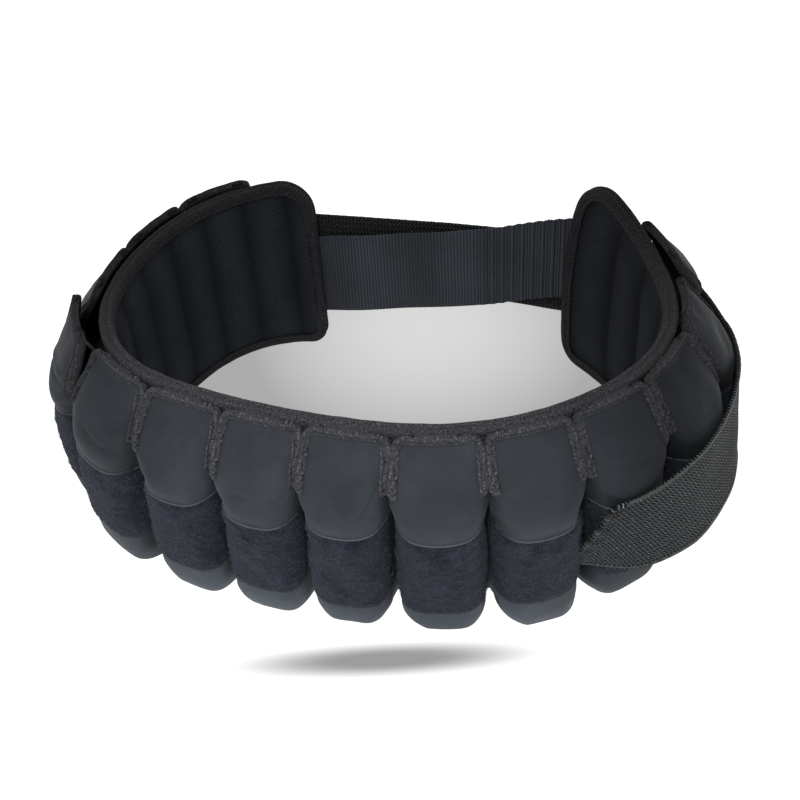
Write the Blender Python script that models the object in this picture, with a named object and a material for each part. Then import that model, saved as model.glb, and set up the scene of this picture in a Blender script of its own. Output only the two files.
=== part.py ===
"""Pocketed dive weight belt.

A padded band is bent round the waist and carries fourteen pouches on its outer
face. Each pouch has a hinged hood flap and a loop patch on its front, and twelve
of them hold a weight block. The two wing ends of the band are bridged at the
back by an elastic band and by a webbing strap, whose free end lies over the
loop patches on the right side.

Units are metres, +Z is up, the front faces -Y and the left side is at -X. The
belt stands on its pouch bottoms at z = 0 and the origin is the bottom centre of
its bounding box. Pockets are numbered from the left wing end round the front to
the right wing end.

Places on the belt are given by s, the length along the band's outer face from a
seam near the front (positive to the right), and n, the distance outward of it.
"""
import math

import bmesh
import bpy
import numpy as np

# ----------------------------------------------------------------------------
# Band
# ----------------------------------------------------------------------------
PITCH = 0.055            # pocket to pocket along the band's outer face
POCKETS = 14
LEFT_POCKETS = 8         # pockets left of the s = 0 seam
TAB = 0.046              # band beyond the last pocket at each end
S_LEFT = -LEFT_POCKETS * PITCH - TAB
S_RIGHT = (POCKETS - LEFT_POCKETS) * PITCH + TAB

START_HEADING = -194.0   # degrees, direction of the band at its left wing end
# the band's outer face in plan, as tangent arcs: (length, turn in degrees)
ARCS = (
    (TAB + PITCH, 60.0),     # left wing
    (2 * PITCH, 36.0),       # left side
    (2 * PITCH, 68.0),       # left corner
    (3 * PITCH, 19.0),       # front, flatter half
    (3 * PITCH, 50.0),       # front, rounder half
    (2 * PITCH, 61.0),       # right corner
    (PITCH + TAB, 27.0),     # right wing
)
EASE = PITCH             # length over which one arc eases into the next
EASE_SAMPLES = 12
PLAN_STEP = 0.0005       # spacing of the tabulated plan curve
PLAN_MARGIN = 0.010      # how far the table runs past the wing ends

WING_LIFT = 0.0140       # rise of the band at the right wing end
WING_LIFT_S = 4.6 * PITCH    # where the rise starts

BAND_Z0 = 0.0030         # lower edge of the padded band
BAND_Z1 = 0.1542         # upper edge of the padded band
BAND_T = 0.0080
LINING_T = 0.0030
TOP_R = 0.028            # rounded upper corner of a wing end
BOT_R = 0.014            # rounded lower corner of a wing end
CORNER_ANGLES = (0, 30, 60, 90)    # degrees, stations round the upper corner
STATIONS_PER_POCKET = 3
GAP = 0.0003             # clearance between neighbouring pieces
LINING_N0 = -BAND_T - GAP
LINING_N1 = LINING_N0 - LINING_T

BIND_T = 0.0015          # edge binding tape, folded over the edge
BIND_LIP = 0.0080        # how far it reaches in from the edge
BIND_IN = 0.0006         # its clearance from the lining

# ----------------------------------------------------------------------------
# Pockets
# ----------------------------------------------------------------------------
POUCH_TOP = 0.0980       # pouch mouth
POUCH_T = 0.0020         # pouch wall
FLOOR_T = 0.0025
POUCH_BACK = 0.0021      # stand-off of the pouch's back edges from the band
POUCH_POWER = 3.5        # squareness of the pouch in plan
CONTOUR_SEGMENTS = 6
FAN = 0.6                # share of the corners' fanning-out a pouch takes up
SEAM_CLEAR = 0.0004      # from a pouch's side to the seam
PROFILE_REACH = 0.62 * PITCH   # band sampled this far each side of the pocket
PROFILE_SAMPLES = 63
# height, half width, depth
POUCH_LEVELS = (
    (0.0000, 0.0205, 0.0310),
    (0.0080, 0.0248, 0.0375),
    (0.0300, 0.0264, 0.0415),
    (POUCH_TOP, 0.0264, 0.0415),
)
FLOOR_BACK = (-0.5, 0.0, 0.5)  # floor's back edge points, in half widths

FLAP_T = 0.0020
HINGE_Z = POUCH_TOP + 0.0002
FLAP_Z0 = POUCH_TOP + 0.0004
# height, half width, depth, stand-off of the side edge from the band
FLAP_LEVELS = (
    (FLAP_Z0, 0.0262, 0.0415, 0.0060),
    (0.1200, 0.0258, 0.0345, 0.0052),
    (0.1390, 0.0250, 0.0205, 0.0045),
    (0.1530, 0.0232, 0.0098, 0.0040),
)
HINGE_N = FLAP_LEVELS[0][2]      # the hinge runs along the flap's lower front
FLAP_REST = {4: 12.0, 14: 5.0}   # degrees these flaps stand open

PATCH_Z0 = 0.0350
PATCH_Z1 = 0.0900
PATCH_HALF = 0.0200
PATCH_T = 0.0015
PATCH_OFF = 0.0006       # clearance from the pouch front

EMPTY_POCKETS = (4, 14)
WEIGHT_W = 0.0380
WEIGHT_T = 0.0240
WEIGHT_Z0 = 0.0036
WEIGHT_Z1 = 0.0945
WEIGHT_N0 = 0.0032       # gap between the band and the weight's back
WEIGHT_BEVEL = 0.0040

# ----------------------------------------------------------------------------
# Elastic band and webbing strap
# Left distances run inward from the left wing end, right ones from the right
# wing end. Turn points are (past the right wing end, out from its face).
# ----------------------------------------------------------------------------
ELASTIC_W = 0.0750
ELASTIC_T = 0.0015
ELASTIC_N = 0.0032       # middle of the elastic off the wings
ELASTIC_Z_LEFT = 0.0680  # centre height at the left wing
ELASTIC_Z_RIGHT = 0.1020
ELASTIC_LEFT = (0.036, 0.024, 0.012, 0.001)
ELASTIC_TURN = ((0.0062, -0.0005), (0.0036, 0.0034), (-0.0030, 0.0036))
ELASTIC_RIGHT = (0.014, 0.026, 0.038)
ELASTIC_SPANS = 6        # parts of the free length between the wings

STRAP_W = 0.0680
STRAP_T = 0.0024
STRAP_Z_LEFT = 0.0790    # centre height at the left wing
STRAP_Z_SIDE = 0.0600    # centre height over the right side
STRAP_N_BACK = 0.0057    # middle of the strap off the left wing
STRAP_N_SIDE = 0.0455    # middle of the strap off the band over the pockets
STRAP_LEFT = (0.034, 0.020, 0.004)
STRAP_TURN = ((0.0125, 0.0015), (0.0085, 0.0105))
STRAP_SIDE = (5.90, 5.62, 5.34, 5.17)    # s in pitches, over the last pocket
STRAP_CUT = 0.012        # where a corner's rounding starts
STRAP_CUT_STEPS = 2

TAIL_S0 = 5.0 * PITCH    # where the free end of the strap leaves the belt
TAIL_S1 = 2.02 * PITCH   # its tip
TAIL_STEP = 0.30 * PITCH
TAIL_STEPS = 10          # stations at that step before the tip
TAIL_GAP = 0.0006        # between the strap's end and the free end
TAIL_N = STRAP_N_SIDE + 0.0010   # middle of the free end off the band
TAIL_LEAN = 0.0080       # the free end's lower edge stands out this far
TAIL_LEAN_RATE = 1.6     # the lean is full at 1/1.6 of the length
TAIL_DIP = 0.0050        # dip inwards, one dip length past its start
TAIL_DIP_S = 2.75 * PITCH
TAIL_DIP_LENGTH = 0.75 * PITCH
TAIL_SLANT = 0.026       # height cut off the upper edge at the tip
TAIL_SLANT_S = 2.45 * PITCH

# ----------------------------------------------------------------------------
# Finishes: sRGB colour in 0-255, roughness
# ----------------------------------------------------------------------------
SHARP_ANGLE = 40         # degrees, edges bent more than this are shaded sharp
BAND_FINISH = ((44, 46, 50), 0.85)
LINING_FINISH = ((30, 32, 36), 0.9)
BINDING_FINISH = ((75, 73, 72), 0.8)
POUCH_FINISH = ((60, 63, 68), 0.75)
PATCH_FINISH = ((45, 47, 60), 0.95)
WEIGHT_FINISH = ((52, 54, 58), 0.5)
ELASTIC_FINISH = ((38, 40, 44), 0.85)
STRAP_FINISH = ((48, 50, 52), 0.8)


# ----------------------------------------------------------------------------
# Plan curve of the band's outer face
# ----------------------------------------------------------------------------
def raw_heading(s):
    """Heading of the un-eased tangent arcs in radians. The end arcs run on."""
    along = s - S_LEFT
    angle = START_HEADING
    for length, turn in ARCS[:-1]:
        if along <= length:
            break
        angle += turn
        along -= length
    else:
        length, turn = ARCS[-1]
    return math.radians(angle + turn * along / length)


def eased_heading(s):
    """Heading averaged over EASE, so the curvature changes gradually."""
    total = 0.0
    for i in range(EASE_SAMPLES):
        total += raw_heading(s + EASE * ((i + 0.5) / EASE_SAMPLES - 0.5))
    return total / EASE_SAMPLES


TABLE_S = np.arange(S_LEFT - PLAN_MARGIN, S_RIGHT + PLAN_MARGIN + PLAN_STEP / 2, PLAN_STEP)
TABLE_HEADING = np.array([eased_heading(s) for s in TABLE_S])
STEP_HEADING = (TABLE_HEADING[1:] + TABLE_HEADING[:-1]) / 2
TABLE_X = np.concatenate([[0.0], np.cumsum(np.cos(STEP_HEADING) * PLAN_STEP)])
TABLE_Y = np.concatenate([[0.0], np.cumsum(np.sin(STEP_HEADING) * PLAN_STEP)])


def heading_at(s):
    return float(np.interp(s, TABLE_S, TABLE_HEADING))


def plan(s, n=0.0):
    """Plan point at length s along the band's outer face, n outward of it."""
    x = float(np.interp(s, TABLE_S, TABLE_X))
    y = float(np.interp(s, TABLE_S, TABLE_Y))
    heading = heading_at(s)
    return (x + n * math.sin(heading), y - n * math.cos(heading))


def past_right_end(along, out):
    """Plan point past the right wing end, out from its face."""
    x, y = plan(S_RIGHT, out)
    heading = heading_at(S_RIGHT)
    return (x + along * math.cos(heading), y + along * math.sin(heading))


def lift_at(s):
    """How far the band is raised at s."""
    t = (s - WING_LIFT_S) / (S_RIGHT - WING_LIFT_S)
    t = min(1.0, max(0.0, t))
    return WING_LIFT * t * t * (3 - 2 * t)


# ----------------------------------------------------------------------------
# Objects and meshes
# ----------------------------------------------------------------------------
def linear(channel):
    """Linear value of an sRGB channel given in 0-255."""
    channel /= 255.0
    return channel / 12.92 if channel <= 0.04045 else ((channel + 0.055) / 1.055) ** 2.4


def make_material(name, finish):
    colour, roughness = finish
    rgba = (*(linear(channel) for channel in colour), 1.0)
    material = bpy.data.materials.new(name)
    material.use_nodes = True
    shader = material.node_tree.nodes["Principled BSDF"]
    shader.inputs["Base Color"].default_value = rgba
    shader.inputs["Roughness"].default_value = roughness
    material.diffuse_color = rgba
    return material


def add_object(root, name, shape, finish, location=(0, 0, 0), rotation=(0, 0, 0)):
    """Object under root, made from shape, a pair of vertices and faces."""
    verts, faces = shape
    mesh = bpy.data.meshes.new(name)
    mesh.from_pydata(verts, [], faces)
    mesh.validate(verbose=False)
    mesh.update()
    obj = bpy.data.objects.new(name, mesh)
    bpy.context.scene.collection.objects.link(obj)
    obj.parent = root
    obj.location = location
    obj.rotation_euler = rotation
    mesh.materials.append(make_material(name + "_mat", finish))
    mesh.shade_smooth()
    mesh.set_sharp_from_angle(angle=math.radians(SHARP_ANGLE))


def upright(first, second, z0, z1):
    """Upright cross-section between two plan points, as four corners."""
    return ((*first, z0), (*first, z1), (*second, z1), (*second, z0))


def ribbon(sections):
    """Closed solid through cross-sections of four corners each. The first
    corners lie on the right of the walking direction: low, high; the others
    on its left: high, low."""
    verts = [corner for section in sections for corner in section]
    faces = []
    for i in range(len(sections) - 1):
        here, ahead = 4 * i, 4 * (i + 1)
        for k in range(4):
            m = (k + 1) % 4
            faces.append((here + k, ahead + k, ahead + m, here + m))
    faces.append((0, 1, 2, 3))
    end = 4 * (len(sections) - 1)
    faces.append((end + 3, end + 2, end + 1, end))
    return verts, faces


# ----------------------------------------------------------------------------
# Band, lining and edge binding
# ----------------------------------------------------------------------------
def band_stations():
    """Values of s from end to end, closer together round the wing corners."""
    tab = [TOP_R * (1 - math.cos(math.radians(angle))) for angle in CORNER_ANGLES]
    left = [S_LEFT + d for d in tab]
    middle = [-LEFT_POCKETS * PITCH + i * PITCH / STATIONS_PER_POCKET
              for i in range(STATIONS_PER_POCKET * POCKETS + 1)]
    right = [S_RIGHT - d for d in reversed(tab)]
    return left + middle + right


STATIONS = band_stations()


def edge_drop(d, radius):
    """How far a rounded corner's edge lies inside the straight edge."""
    if d >= radius:
        return 0.0
    return radius - math.sqrt(max(0.0, radius * radius - (radius - d) ** 2))


def edge_heights(s):
    """Heights of the band's lower and upper edge."""
    d = min(s - S_LEFT, S_RIGHT - s)
    lift = lift_at(s)
    return (BAND_Z0 + lift + edge_drop(d, BOT_R),
            BAND_Z1 + lift - edge_drop(d, TOP_R))


def sheet(n_out, n_in):
    """Layer of the band between two distances off its outer face."""
    return ribbon([upright(plan(s, n_out), plan(s, n_in), *edge_heights(s))
                   for s in STATIONS])


def right_normal(start, end):
    """Unit normal on the right of the way from start to end."""
    ds, dz = end[0] - start[0], end[1] - start[1]
    length = math.hypot(ds, dz)
    return dz / length, -ds / length


def binding():
    """U-shaped tape folded over the whole edge of the band and lining."""
    # the edge is walked with the sheet on its left, so outside is right
    path = [(s, edge_heights(s)[0]) for s in STATIONS]
    path += [(s, edge_heights(s)[1]) for s in reversed(STATIONS)]
    n_face = GAP + BIND_T
    n_lining = LINING_N1 - BIND_IN
    n_back = n_lining - BIND_T
    # n, distance outside the edge
    section = (
        (n_face, -BIND_LIP), (n_face, GAP + BIND_T),
        (n_back, GAP + BIND_T), (n_back, -BIND_LIP),
        (n_lining, -BIND_LIP), (n_lining, GAP),
        (GAP, GAP), (GAP, -BIND_LIP),
    )
    count, corners = len(path), len(section)
    verts, faces = [], []
    for i, point in enumerate(path):
        before = right_normal(path[i - 1], point)
        after = right_normal(point, path[(i + 1) % count])
        # mitre direction, scaled so that both edges keep their distance
        scale = 1.0 + before[0] * after[0] + before[1] * after[1]
        mitre_s = (before[0] + after[0]) / scale
        mitre_z = (before[1] + after[1]) / scale
        for n, d in section:
            verts.append((*plan(point[0] + mitre_s * d, n), point[1] + mitre_z * d))
        j = (i + 1) % count
        for k in range(corners):
            m = (k + 1) % corners
            faces.append((i * corners + k, i * corners + m,
                          j * corners + m, j * corners + k))
    return verts, faces


def add_band(root):
    add_object(root, "belt_band", sheet(0.0, -BAND_T), BAND_FINISH)
    add_object(root, "inner_lining", sheet(LINING_N0, LINING_N1), LINING_FINISH)
    add_object(root, "edge_binding", binding(), BINDING_FINISH)


# ----------------------------------------------------------------------------
# Pockets
# ----------------------------------------------------------------------------
class Pocket:
    """Local frame of one pocket: u along the band, n outward, z up.
    Its objects are turned so that u is their +X and n their -Y."""

    def __init__(self, number):
        self.s = (number - 1 - LEFT_POCKETS + 0.5) * PITCH
        self.heading = heading_at(self.s)
        self.origin = plan(self.s)
        self.lift = lift_at(self.s)
        offsets = np.linspace(-PROFILE_REACH, PROFILE_REACH, PROFILE_SAMPLES)
        self.profile_u, self.profile_n = zip(*[self.local(self.s + d) for d in offsets])
        # the seams limit how wide the pocket can be
        seam_left, seam_right = self.s - PITCH / 2, self.s + PITCH / 2
        self.max_half = min(-self.local(seam_left)[0], self.local(seam_right)[0]) - SEAM_CLEAR
        self.bend = (heading_at(seam_right) - heading_at(seam_left)) / PITCH

    def local(self, s):
        """The band's outer face at s, as (u, n)."""
        x, y = plan(s)
        dx, dy = x - self.origin[0], y - self.origin[1]
        cos_h, sin_h = math.cos(self.heading), math.sin(self.heading)
        return (dx * cos_h + dy * sin_h, dx * sin_h - dy * cos_h)

    def band_n(self, u):
        return float(np.interp(u, self.profile_u, self.profile_n))

    def location(self, n, z):
        """Belt position of a point n outward of the pocket's middle."""
        return (self.origin[0] + n * math.sin(self.heading),
                self.origin[1] - n * math.cos(self.heading), z + self.lift)

    def contour(self, half, depth, edge, inset=0.0):
        """Superellipse in (u, n) from the left back edge round the front to
        the right one. edge is the back edges' stand-off from the band."""
        half = min(half, self.max_half)
        power = 2.0 / POUCH_POWER
        points = []
        for i in range(CONTOUR_SEGMENTS + 1):
            phi = math.pi * (1 - i / CONTOUR_SEGMENTS)
            across, out = math.cos(phi), abs(math.sin(phi)) ** power
            u = math.copysign(abs(across) ** power, across) * (half - inset)
            if i in (0, CONTOUR_SEGMENTS):
                n = self.band_n(u) + edge
            else:
                back = self.band_n(math.copysign(half, across) if abs(across) > 0.5 else 0.0)
                n = edge + (depth - inset - edge) * out
                n += min(0.0, back) * (1 - out)
                # round a corner of the belt the fronts spread apart
                u *= 1.0 + FAN * self.bend * max(0.0, n)
            points.append((u, n))
        return points

    def row(self, z, *contour, inset=0.0, n_origin=0.0):
        """A contour as object vertices at height z."""
        return [(u, n_origin - n, z) for u, n in self.contour(*contour, inset=inset)]


def shell(outer_rows, inner_rows, back=None):
    """Closed shell between an outer and an inner set of contours. back holds
    the (x, y) points of the floor's back edge, left to right, if it has one."""
    width, levels = len(outer_rows[0]), len(outer_rows)
    last, top = width - 1, levels - 1
    verts = [vert for row in outer_rows + inner_rows for vert in row]
    faces = []

    def outer(j, i):
        return j * width + i

    def inner(j, i):
        return (levels + j) * width + i

    for j in range(top):
        for i in range(last):
            faces.append((outer(j, i), outer(j, i + 1), outer(j + 1, i + 1), outer(j + 1, i)))
            faces.append((inner(j, i), inner(j + 1, i), inner(j + 1, i + 1), inner(j, i + 1)))
        faces.append((outer(j, 0), outer(j + 1, 0), inner(j + 1, 0), inner(j, 0)))
        faces.append((outer(j, last), inner(j, last), inner(j + 1, last), outer(j + 1, last)))
    for i in range(last):
        faces.append((outer(top, i), outer(top, i + 1), inner(top, i + 1), inner(top, i)))

    if back is None:
        for i in range(last):
            faces.append((outer(0, i), inner(0, i), inner(0, i + 1), outer(0, i + 1)))
        return verts, faces

    # floor: underside, upper side and back edge
    z_low, z_high = outer_rows[0][0][2], inner_rows[0][0][2]
    low, high = [], []
    for x, y in back:
        low.append(len(verts))
        verts.append((x, y, z_low))
        high.append(len(verts))
        verts.append((x, y, z_high))
    faces.append(tuple([outer(0, i) for i in reversed(range(width))] + low))
    faces.append(tuple([inner(0, i) for i in range(width)] + high[::-1]))
    low = [outer(0, 0)] + low + [outer(0, last)]
    high = [inner(0, 0)] + high + [inner(0, last)]
    for i in range(len(low) - 1):
        faces.append((low[i], high[i], high[i + 1], low[i + 1]))
    return verts, faces


def pouch(pocket):
    outer, inner = [], []
    for index, (z, half, depth) in enumerate(POUCH_LEVELS):
        outer.append(pocket.row(z, half, depth, POUCH_BACK))
        z_inner = FLOOR_T if index == 0 else z
        inner.append(pocket.row(z_inner, half, depth, POUCH_BACK, inset=POUCH_T))
    half = min(POUCH_LEVELS[0][1], pocket.max_half)
    back = [(share * half, -pocket.band_n(share * half) - POUCH_BACK)
            for share in FLOOR_BACK]
    return shell(outer, inner, back)


def flap(pocket):
    """Hood over the pouch mouth, with its origin on the hinge."""
    outer, inner = [], []
    for z, *contour in FLAP_LEVELS:
        outer.append(pocket.row(z - HINGE_Z, *contour, n_origin=HINGE_N))
        inner.append(pocket.row(z - HINGE_Z, *contour, inset=FLAP_T, n_origin=HINGE_N))
    return shell(outer, inner)


def loop_patch(pocket):
    """Patch laid on the straight upper part of the pouch front."""
    _, half, depth = POUCH_LEVELS[2]
    front_u, front_n = zip(*pocket.contour(half, depth, POUCH_BACK))
    inside = [u for u in front_u if abs(u) < PATCH_HALF]
    sections = []
    for u in [-PATCH_HALF] + inside + [PATCH_HALF]:
        n = float(np.interp(u, front_u, front_n)) + PATCH_OFF
        sections.append(upright((u, -n - PATCH_T), (u, -n), PATCH_Z0, PATCH_Z1))
    return ribbon(sections)


def weight():
    """Weight block with all edges chamfered, standing on its origin."""
    bm = bmesh.new()
    bmesh.ops.create_cube(bm, size=1.0)
    for v in bm.verts:
        v.co.x *= WEIGHT_W
        v.co.y *= WEIGHT_T
        v.co.z = (v.co.z + 0.5) * (WEIGHT_Z1 - WEIGHT_Z0)
    bmesh.ops.bevel(bm, geom=list(bm.edges), offset=WEIGHT_BEVEL, segments=1,
                    affect='EDGES', profile=0.5)
    verts = [tuple(v.co) for v in bm.verts]
    faces = [tuple(v.index for v in f.verts) for f in bm.faces]
    bm.free()
    return verts, faces


def add_pocket(root, number):
    pocket = Pocket(number)
    spin = (0.0, 0.0, pocket.heading)
    on_band = pocket.location(0.0, 0.0)
    add_object(root, f"pouch_{number:02d}", pouch(pocket), POUCH_FINISH, on_band, spin)
    rest = math.radians(FLAP_REST.get(number, 0.0))
    add_object(root, f"flap_{number:02d}", flap(pocket), POUCH_FINISH,
               pocket.location(HINGE_N, HINGE_Z), (rest, 0.0, pocket.heading))
    add_object(root, f"loop_patch_{number:02d}", loop_patch(pocket), PATCH_FINISH,
               on_band, spin)
    if number not in EMPTY_POCKETS:
        add_object(root, f"weight_{number:02d}", weight(), WEIGHT_FINISH,
                   pocket.location(WEIGHT_N0 + WEIGHT_T / 2, WEIGHT_Z0), spin)


# ----------------------------------------------------------------------------
# Elastic band and webbing strap across the back
# ----------------------------------------------------------------------------
def between(start, end, t):
    return (start[0] + (end[0] - start[0]) * t, start[1] + (end[1] - start[1]) * t)


def round_corners(points, cut, steps):
    """Replace each corner by a quadratic curve that starts cut before it."""
    rounded = [points[0]]
    for before, corner, after in zip(points, points[1:], points[2:]):
        length_in, length_out = math.dist(before, corner), math.dist(corner, after)
        # neighbouring curves must not meet
        start = between(corner, before, min(cut, 0.45 * length_in) / length_in)
        end = between(corner, after, min(cut, 0.45 * length_out) / length_out)
        for i in range(steps + 1):
            t = i / steps
            rounded.append(between(between(start, corner, t), between(corner, end, t), t))
    rounded.append(points[-1])
    return rounded


def strip(points, thickness, width, z_start, z_end):
    """Flat strap on edge along a plan path walked left wing to right, so the
    belt's outside is on its left. Its centre goes from z_start to z_end."""
    last = len(points) - 1
    sections = []
    for i, (x, y) in enumerate(points):
        before, after = points[max(0, i - 1)], points[min(last, i + 1)]
        length = math.dist(before, after)
        out_x = -(after[1] - before[1]) / length * thickness / 2
        out_y = (after[0] - before[0]) / length * thickness / 2
        z = z_start + (z_end - z_start) * i / last
        sections.append(upright((x - out_x, y - out_y), (x + out_x, y + out_y),
                                z - width / 2, z + width / 2))
    return ribbon(sections)


def elastic_band():
    """Strip over the outer faces of both wings and straight between them."""
    path = [plan(S_LEFT + d, ELASTIC_N) for d in ELASTIC_LEFT]
    turn = [past_right_end(*point) for point in ELASTIC_TURN]
    leave = path[-1]
    path += [between(leave, turn[0], i / ELASTIC_SPANS) for i in range(1, ELASTIC_SPANS)]
    path += turn
    path += [plan(S_RIGHT - d, ELASTIC_N) for d in ELASTIC_RIGHT]
    return strip(path, ELASTIC_T, ELASTIC_W, ELASTIC_Z_LEFT, ELASTIC_Z_RIGHT)


def closure_strap():
    """From the left wing, over the elastic, round the right wing and the last
    pocket."""
    path = [plan(S_LEFT + d, STRAP_N_BACK) for d in STRAP_LEFT]
    path += [past_right_end(*point) for point in STRAP_TURN]
    path += [plan(pitches * PITCH, STRAP_N_SIDE) for pitches in STRAP_SIDE]
    path.append(plan(TAIL_S0 + TAIL_GAP, STRAP_N_SIDE))
    path = round_corners(path, STRAP_CUT, STRAP_CUT_STEPS)
    return strip(path, STRAP_T, STRAP_W, STRAP_Z_LEFT, STRAP_Z_SIDE)


def strap_tail(hinge):
    """Free end of the strap, relative to the plan point hinge. It leans out at
    its lower edge, dips in towards its tip and is cut on the slant there."""
    def corner(s, n, z):
        x, y = plan(s, n)
        return (x - hinge[0], y - hinge[1], z)

    sections = []
    for s in [TAIL_S0 - TAIL_STEP * i for i in range(TAIL_STEPS)] + [TAIL_S1]:
        dip = max(0.0, (TAIL_DIP_S - s) / TAIL_DIP_LENGTH)
        n_high = TAIL_N - TAIL_DIP * dip * dip
        t = (TAIL_S0 - s) / (TAIL_S0 - TAIL_S1)
        n_low = n_high + TAIL_LEAN * min(1.0, TAIL_LEAN_RATE * t)
        slant = max(0.0, (s - TAIL_SLANT_S) / (TAIL_S1 - TAIL_SLANT_S))
        z0 = STRAP_Z_SIDE - STRAP_W / 2
        z1 = STRAP_Z_SIDE + STRAP_W / 2 - TAIL_SLANT * slant
        sections.append((
            corner(s, n_low - STRAP_T / 2, z0), corner(s, n_high - STRAP_T / 2, z1),
            corner(s, n_high + STRAP_T / 2, z1), corner(s, n_low + STRAP_T / 2, z0),
        ))
    return ribbon(sections)


def add_straps(root):
    add_object(root, "elastic_band", elastic_band(), ELASTIC_FINISH)
    add_object(root, "closure_strap", closure_strap(), STRAP_FINISH)
    # the free end hinges about the vertical where it leaves the belt
    hinge = plan(TAIL_S0, TAIL_N + STRAP_T / 2)
    add_object(root, "strap_tail", strap_tail(hinge), STRAP_FINISH, (*hinge, 0.0))


# ----------------------------------------------------------------------------
# Whole belt
# ----------------------------------------------------------------------------
def centre_belt(root):
    """Move the belt so the origin is at the bottom centre of its bounds."""
    bpy.context.view_layer.update()
    points = np.array([obj.matrix_world @ v.co
                       for obj in root.children for v in obj.data.vertices])
    low, high = points.min(axis=0), points.max(axis=0)
    root.location = (-(low[0] + high[0]) / 2, -(low[1] + high[1]) / 2, -low[2])
    bpy.context.view_layer.update()


def build_belt():
    for old in list(bpy.data.objects):
        bpy.data.objects.remove(old, do_unlink=True)
    root = bpy.data.objects.new("belt_frame", None)
    bpy.context.scene.collection.objects.link(root)
    add_band(root)
    for number in range(1, POCKETS + 1):
        add_pocket(root, number)
    add_straps(root)
    centre_belt(root)


build_belt()
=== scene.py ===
"""Looks for the dive weight belt: every soft piece rebuilt in fine detail around
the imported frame, with procedural fabric materials.

The belt stands upright and bends round in a ring: its middle pockets face -Y
and its two ends meet at +Y, joined by an elastic and a webbing strap. Pieces
are laid out in belt coordinates, all in metres: along the band's outer face
from left to right, out from it, and z up. belt_point() turns them into the
row frame. Pockets are numbered from the left end.
"""
import math
from functools import cached_property, reduce
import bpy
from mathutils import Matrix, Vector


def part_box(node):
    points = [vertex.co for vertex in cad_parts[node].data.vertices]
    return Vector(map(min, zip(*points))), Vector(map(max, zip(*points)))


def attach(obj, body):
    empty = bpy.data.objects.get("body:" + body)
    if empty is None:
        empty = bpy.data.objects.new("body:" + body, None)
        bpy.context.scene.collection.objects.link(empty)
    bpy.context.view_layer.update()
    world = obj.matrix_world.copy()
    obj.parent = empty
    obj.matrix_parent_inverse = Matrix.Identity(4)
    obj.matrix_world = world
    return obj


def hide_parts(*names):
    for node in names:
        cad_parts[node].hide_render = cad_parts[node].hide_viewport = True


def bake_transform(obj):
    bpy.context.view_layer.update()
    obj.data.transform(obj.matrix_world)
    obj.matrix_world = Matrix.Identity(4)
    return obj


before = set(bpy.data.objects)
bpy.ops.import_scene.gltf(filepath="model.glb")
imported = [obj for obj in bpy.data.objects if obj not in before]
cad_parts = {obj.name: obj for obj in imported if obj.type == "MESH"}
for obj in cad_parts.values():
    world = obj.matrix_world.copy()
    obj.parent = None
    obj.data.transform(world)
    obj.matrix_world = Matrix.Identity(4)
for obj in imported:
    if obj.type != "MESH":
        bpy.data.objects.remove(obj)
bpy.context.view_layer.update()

from types import SimpleNamespace

import bmesh
import bpy
import numpy as np
from mathutils import Matrix, Vector

# ----------------------------------------------------------------------------
# The belt's main sizes
# ----------------------------------------------------------------------------
PITCH = 0.055                   # from pocket to pocket
POCKETS = 14
LEFT_POCKETS = 8                # pockets left of along = 0
TAB = 0.046                     # bare band beyond the last pocket
START_HEADING = -194.0          # degrees, at the left end
# length, degrees turned
ARCS = ((TAB + PITCH, 60.0), (2 * PITCH, 36.0), (2 * PITCH, 68.0),
        (3 * PITCH, 19.0), (3 * PITCH, 50.0), (2 * PITCH, 61.0),
        (PITCH + TAB, 27.0))
FIRST_EDGE = -LEFT_POCKETS * PITCH
LAST_EDGE = (POCKETS - LEFT_POCKETS) * PITCH
LEFT_END = FIRST_EDGE - TAB
RIGHT_END = LAST_EDGE + TAB
BAND_BOTTOM, BAND_TOP, BAND_THICK = 0.0030, 0.1542, 0.0080
TOP_RADIUS, BOTTOM_RADIUS = 0.028, 0.014     # of the band's corners


# ----------------------------------------------------------------------------
# Number helpers
# ----------------------------------------------------------------------------
def unit(v):
    return v / np.maximum(np.linalg.norm(v, axis=-1, keepdims=True), 1e-12)


def xyz(x, y, z):
    """Three arrays or numbers as one array of points."""
    return np.stack(np.broadcast_arrays(np.asarray(x, float), y, z), -1)


def run_of(points):
    """Length run along a line of points, from 0."""
    return np.concatenate([[0], np.cumsum(np.linalg.norm(np.diff(points, axis=0), axis=1))])


def resample(at, run, points):
    """Points of a line at the given lengths."""
    return np.stack([np.interp(at, run, column) for column in points.T], -1)


def marks(start, stop, step):
    while start < stop:
        yield start
        start += step


def smooth01(x, low, high):
    t = np.clip((x - low) / (high - low), 0, 1)
    return t * t * (3 - 2 * t)


def follow(x, stations, column=1):
    """Smooth monotone curve through stations; column 0 holds x."""
    stations = np.asarray(stations, float)
    xs, ys = stations[:, 0], stations[:, column]
    rise = np.diff(ys) / np.diff(xs)
    slope = np.zeros_like(ys)
    slope[0], slope[-1] = rise[0], rise[-1]
    for i in range(1, len(ys) - 1):
        if rise[i - 1] * rise[i] > 0:
            slope[i] = 2 * rise[i - 1] * rise[i] / (rise[i - 1] + rise[i])
    x = np.clip(x, xs[0], xs[-1])
    i = np.clip(np.searchsorted(xs, x, side="right") - 1, 0, len(xs) - 2)
    gap = xs[i + 1] - xs[i]
    t = (x - xs[i]) / gap
    return ((2 * t ** 3 - 3 * t ** 2 + 1) * ys[i]
            + (t ** 3 - 2 * t ** 2 + t) * gap * slope[i]
            + (-2 * t ** 3 + 3 * t ** 2) * ys[i + 1]
            + (t ** 3 - t ** 2) * gap * slope[i + 1])


noise_random = np.random.RandomState(11)
NOISE_ORDER = np.tile(noise_random.permutation(256), 3)
NOISE_SLOPES = unit(noise_random.normal(size=(256, 3)))


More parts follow.
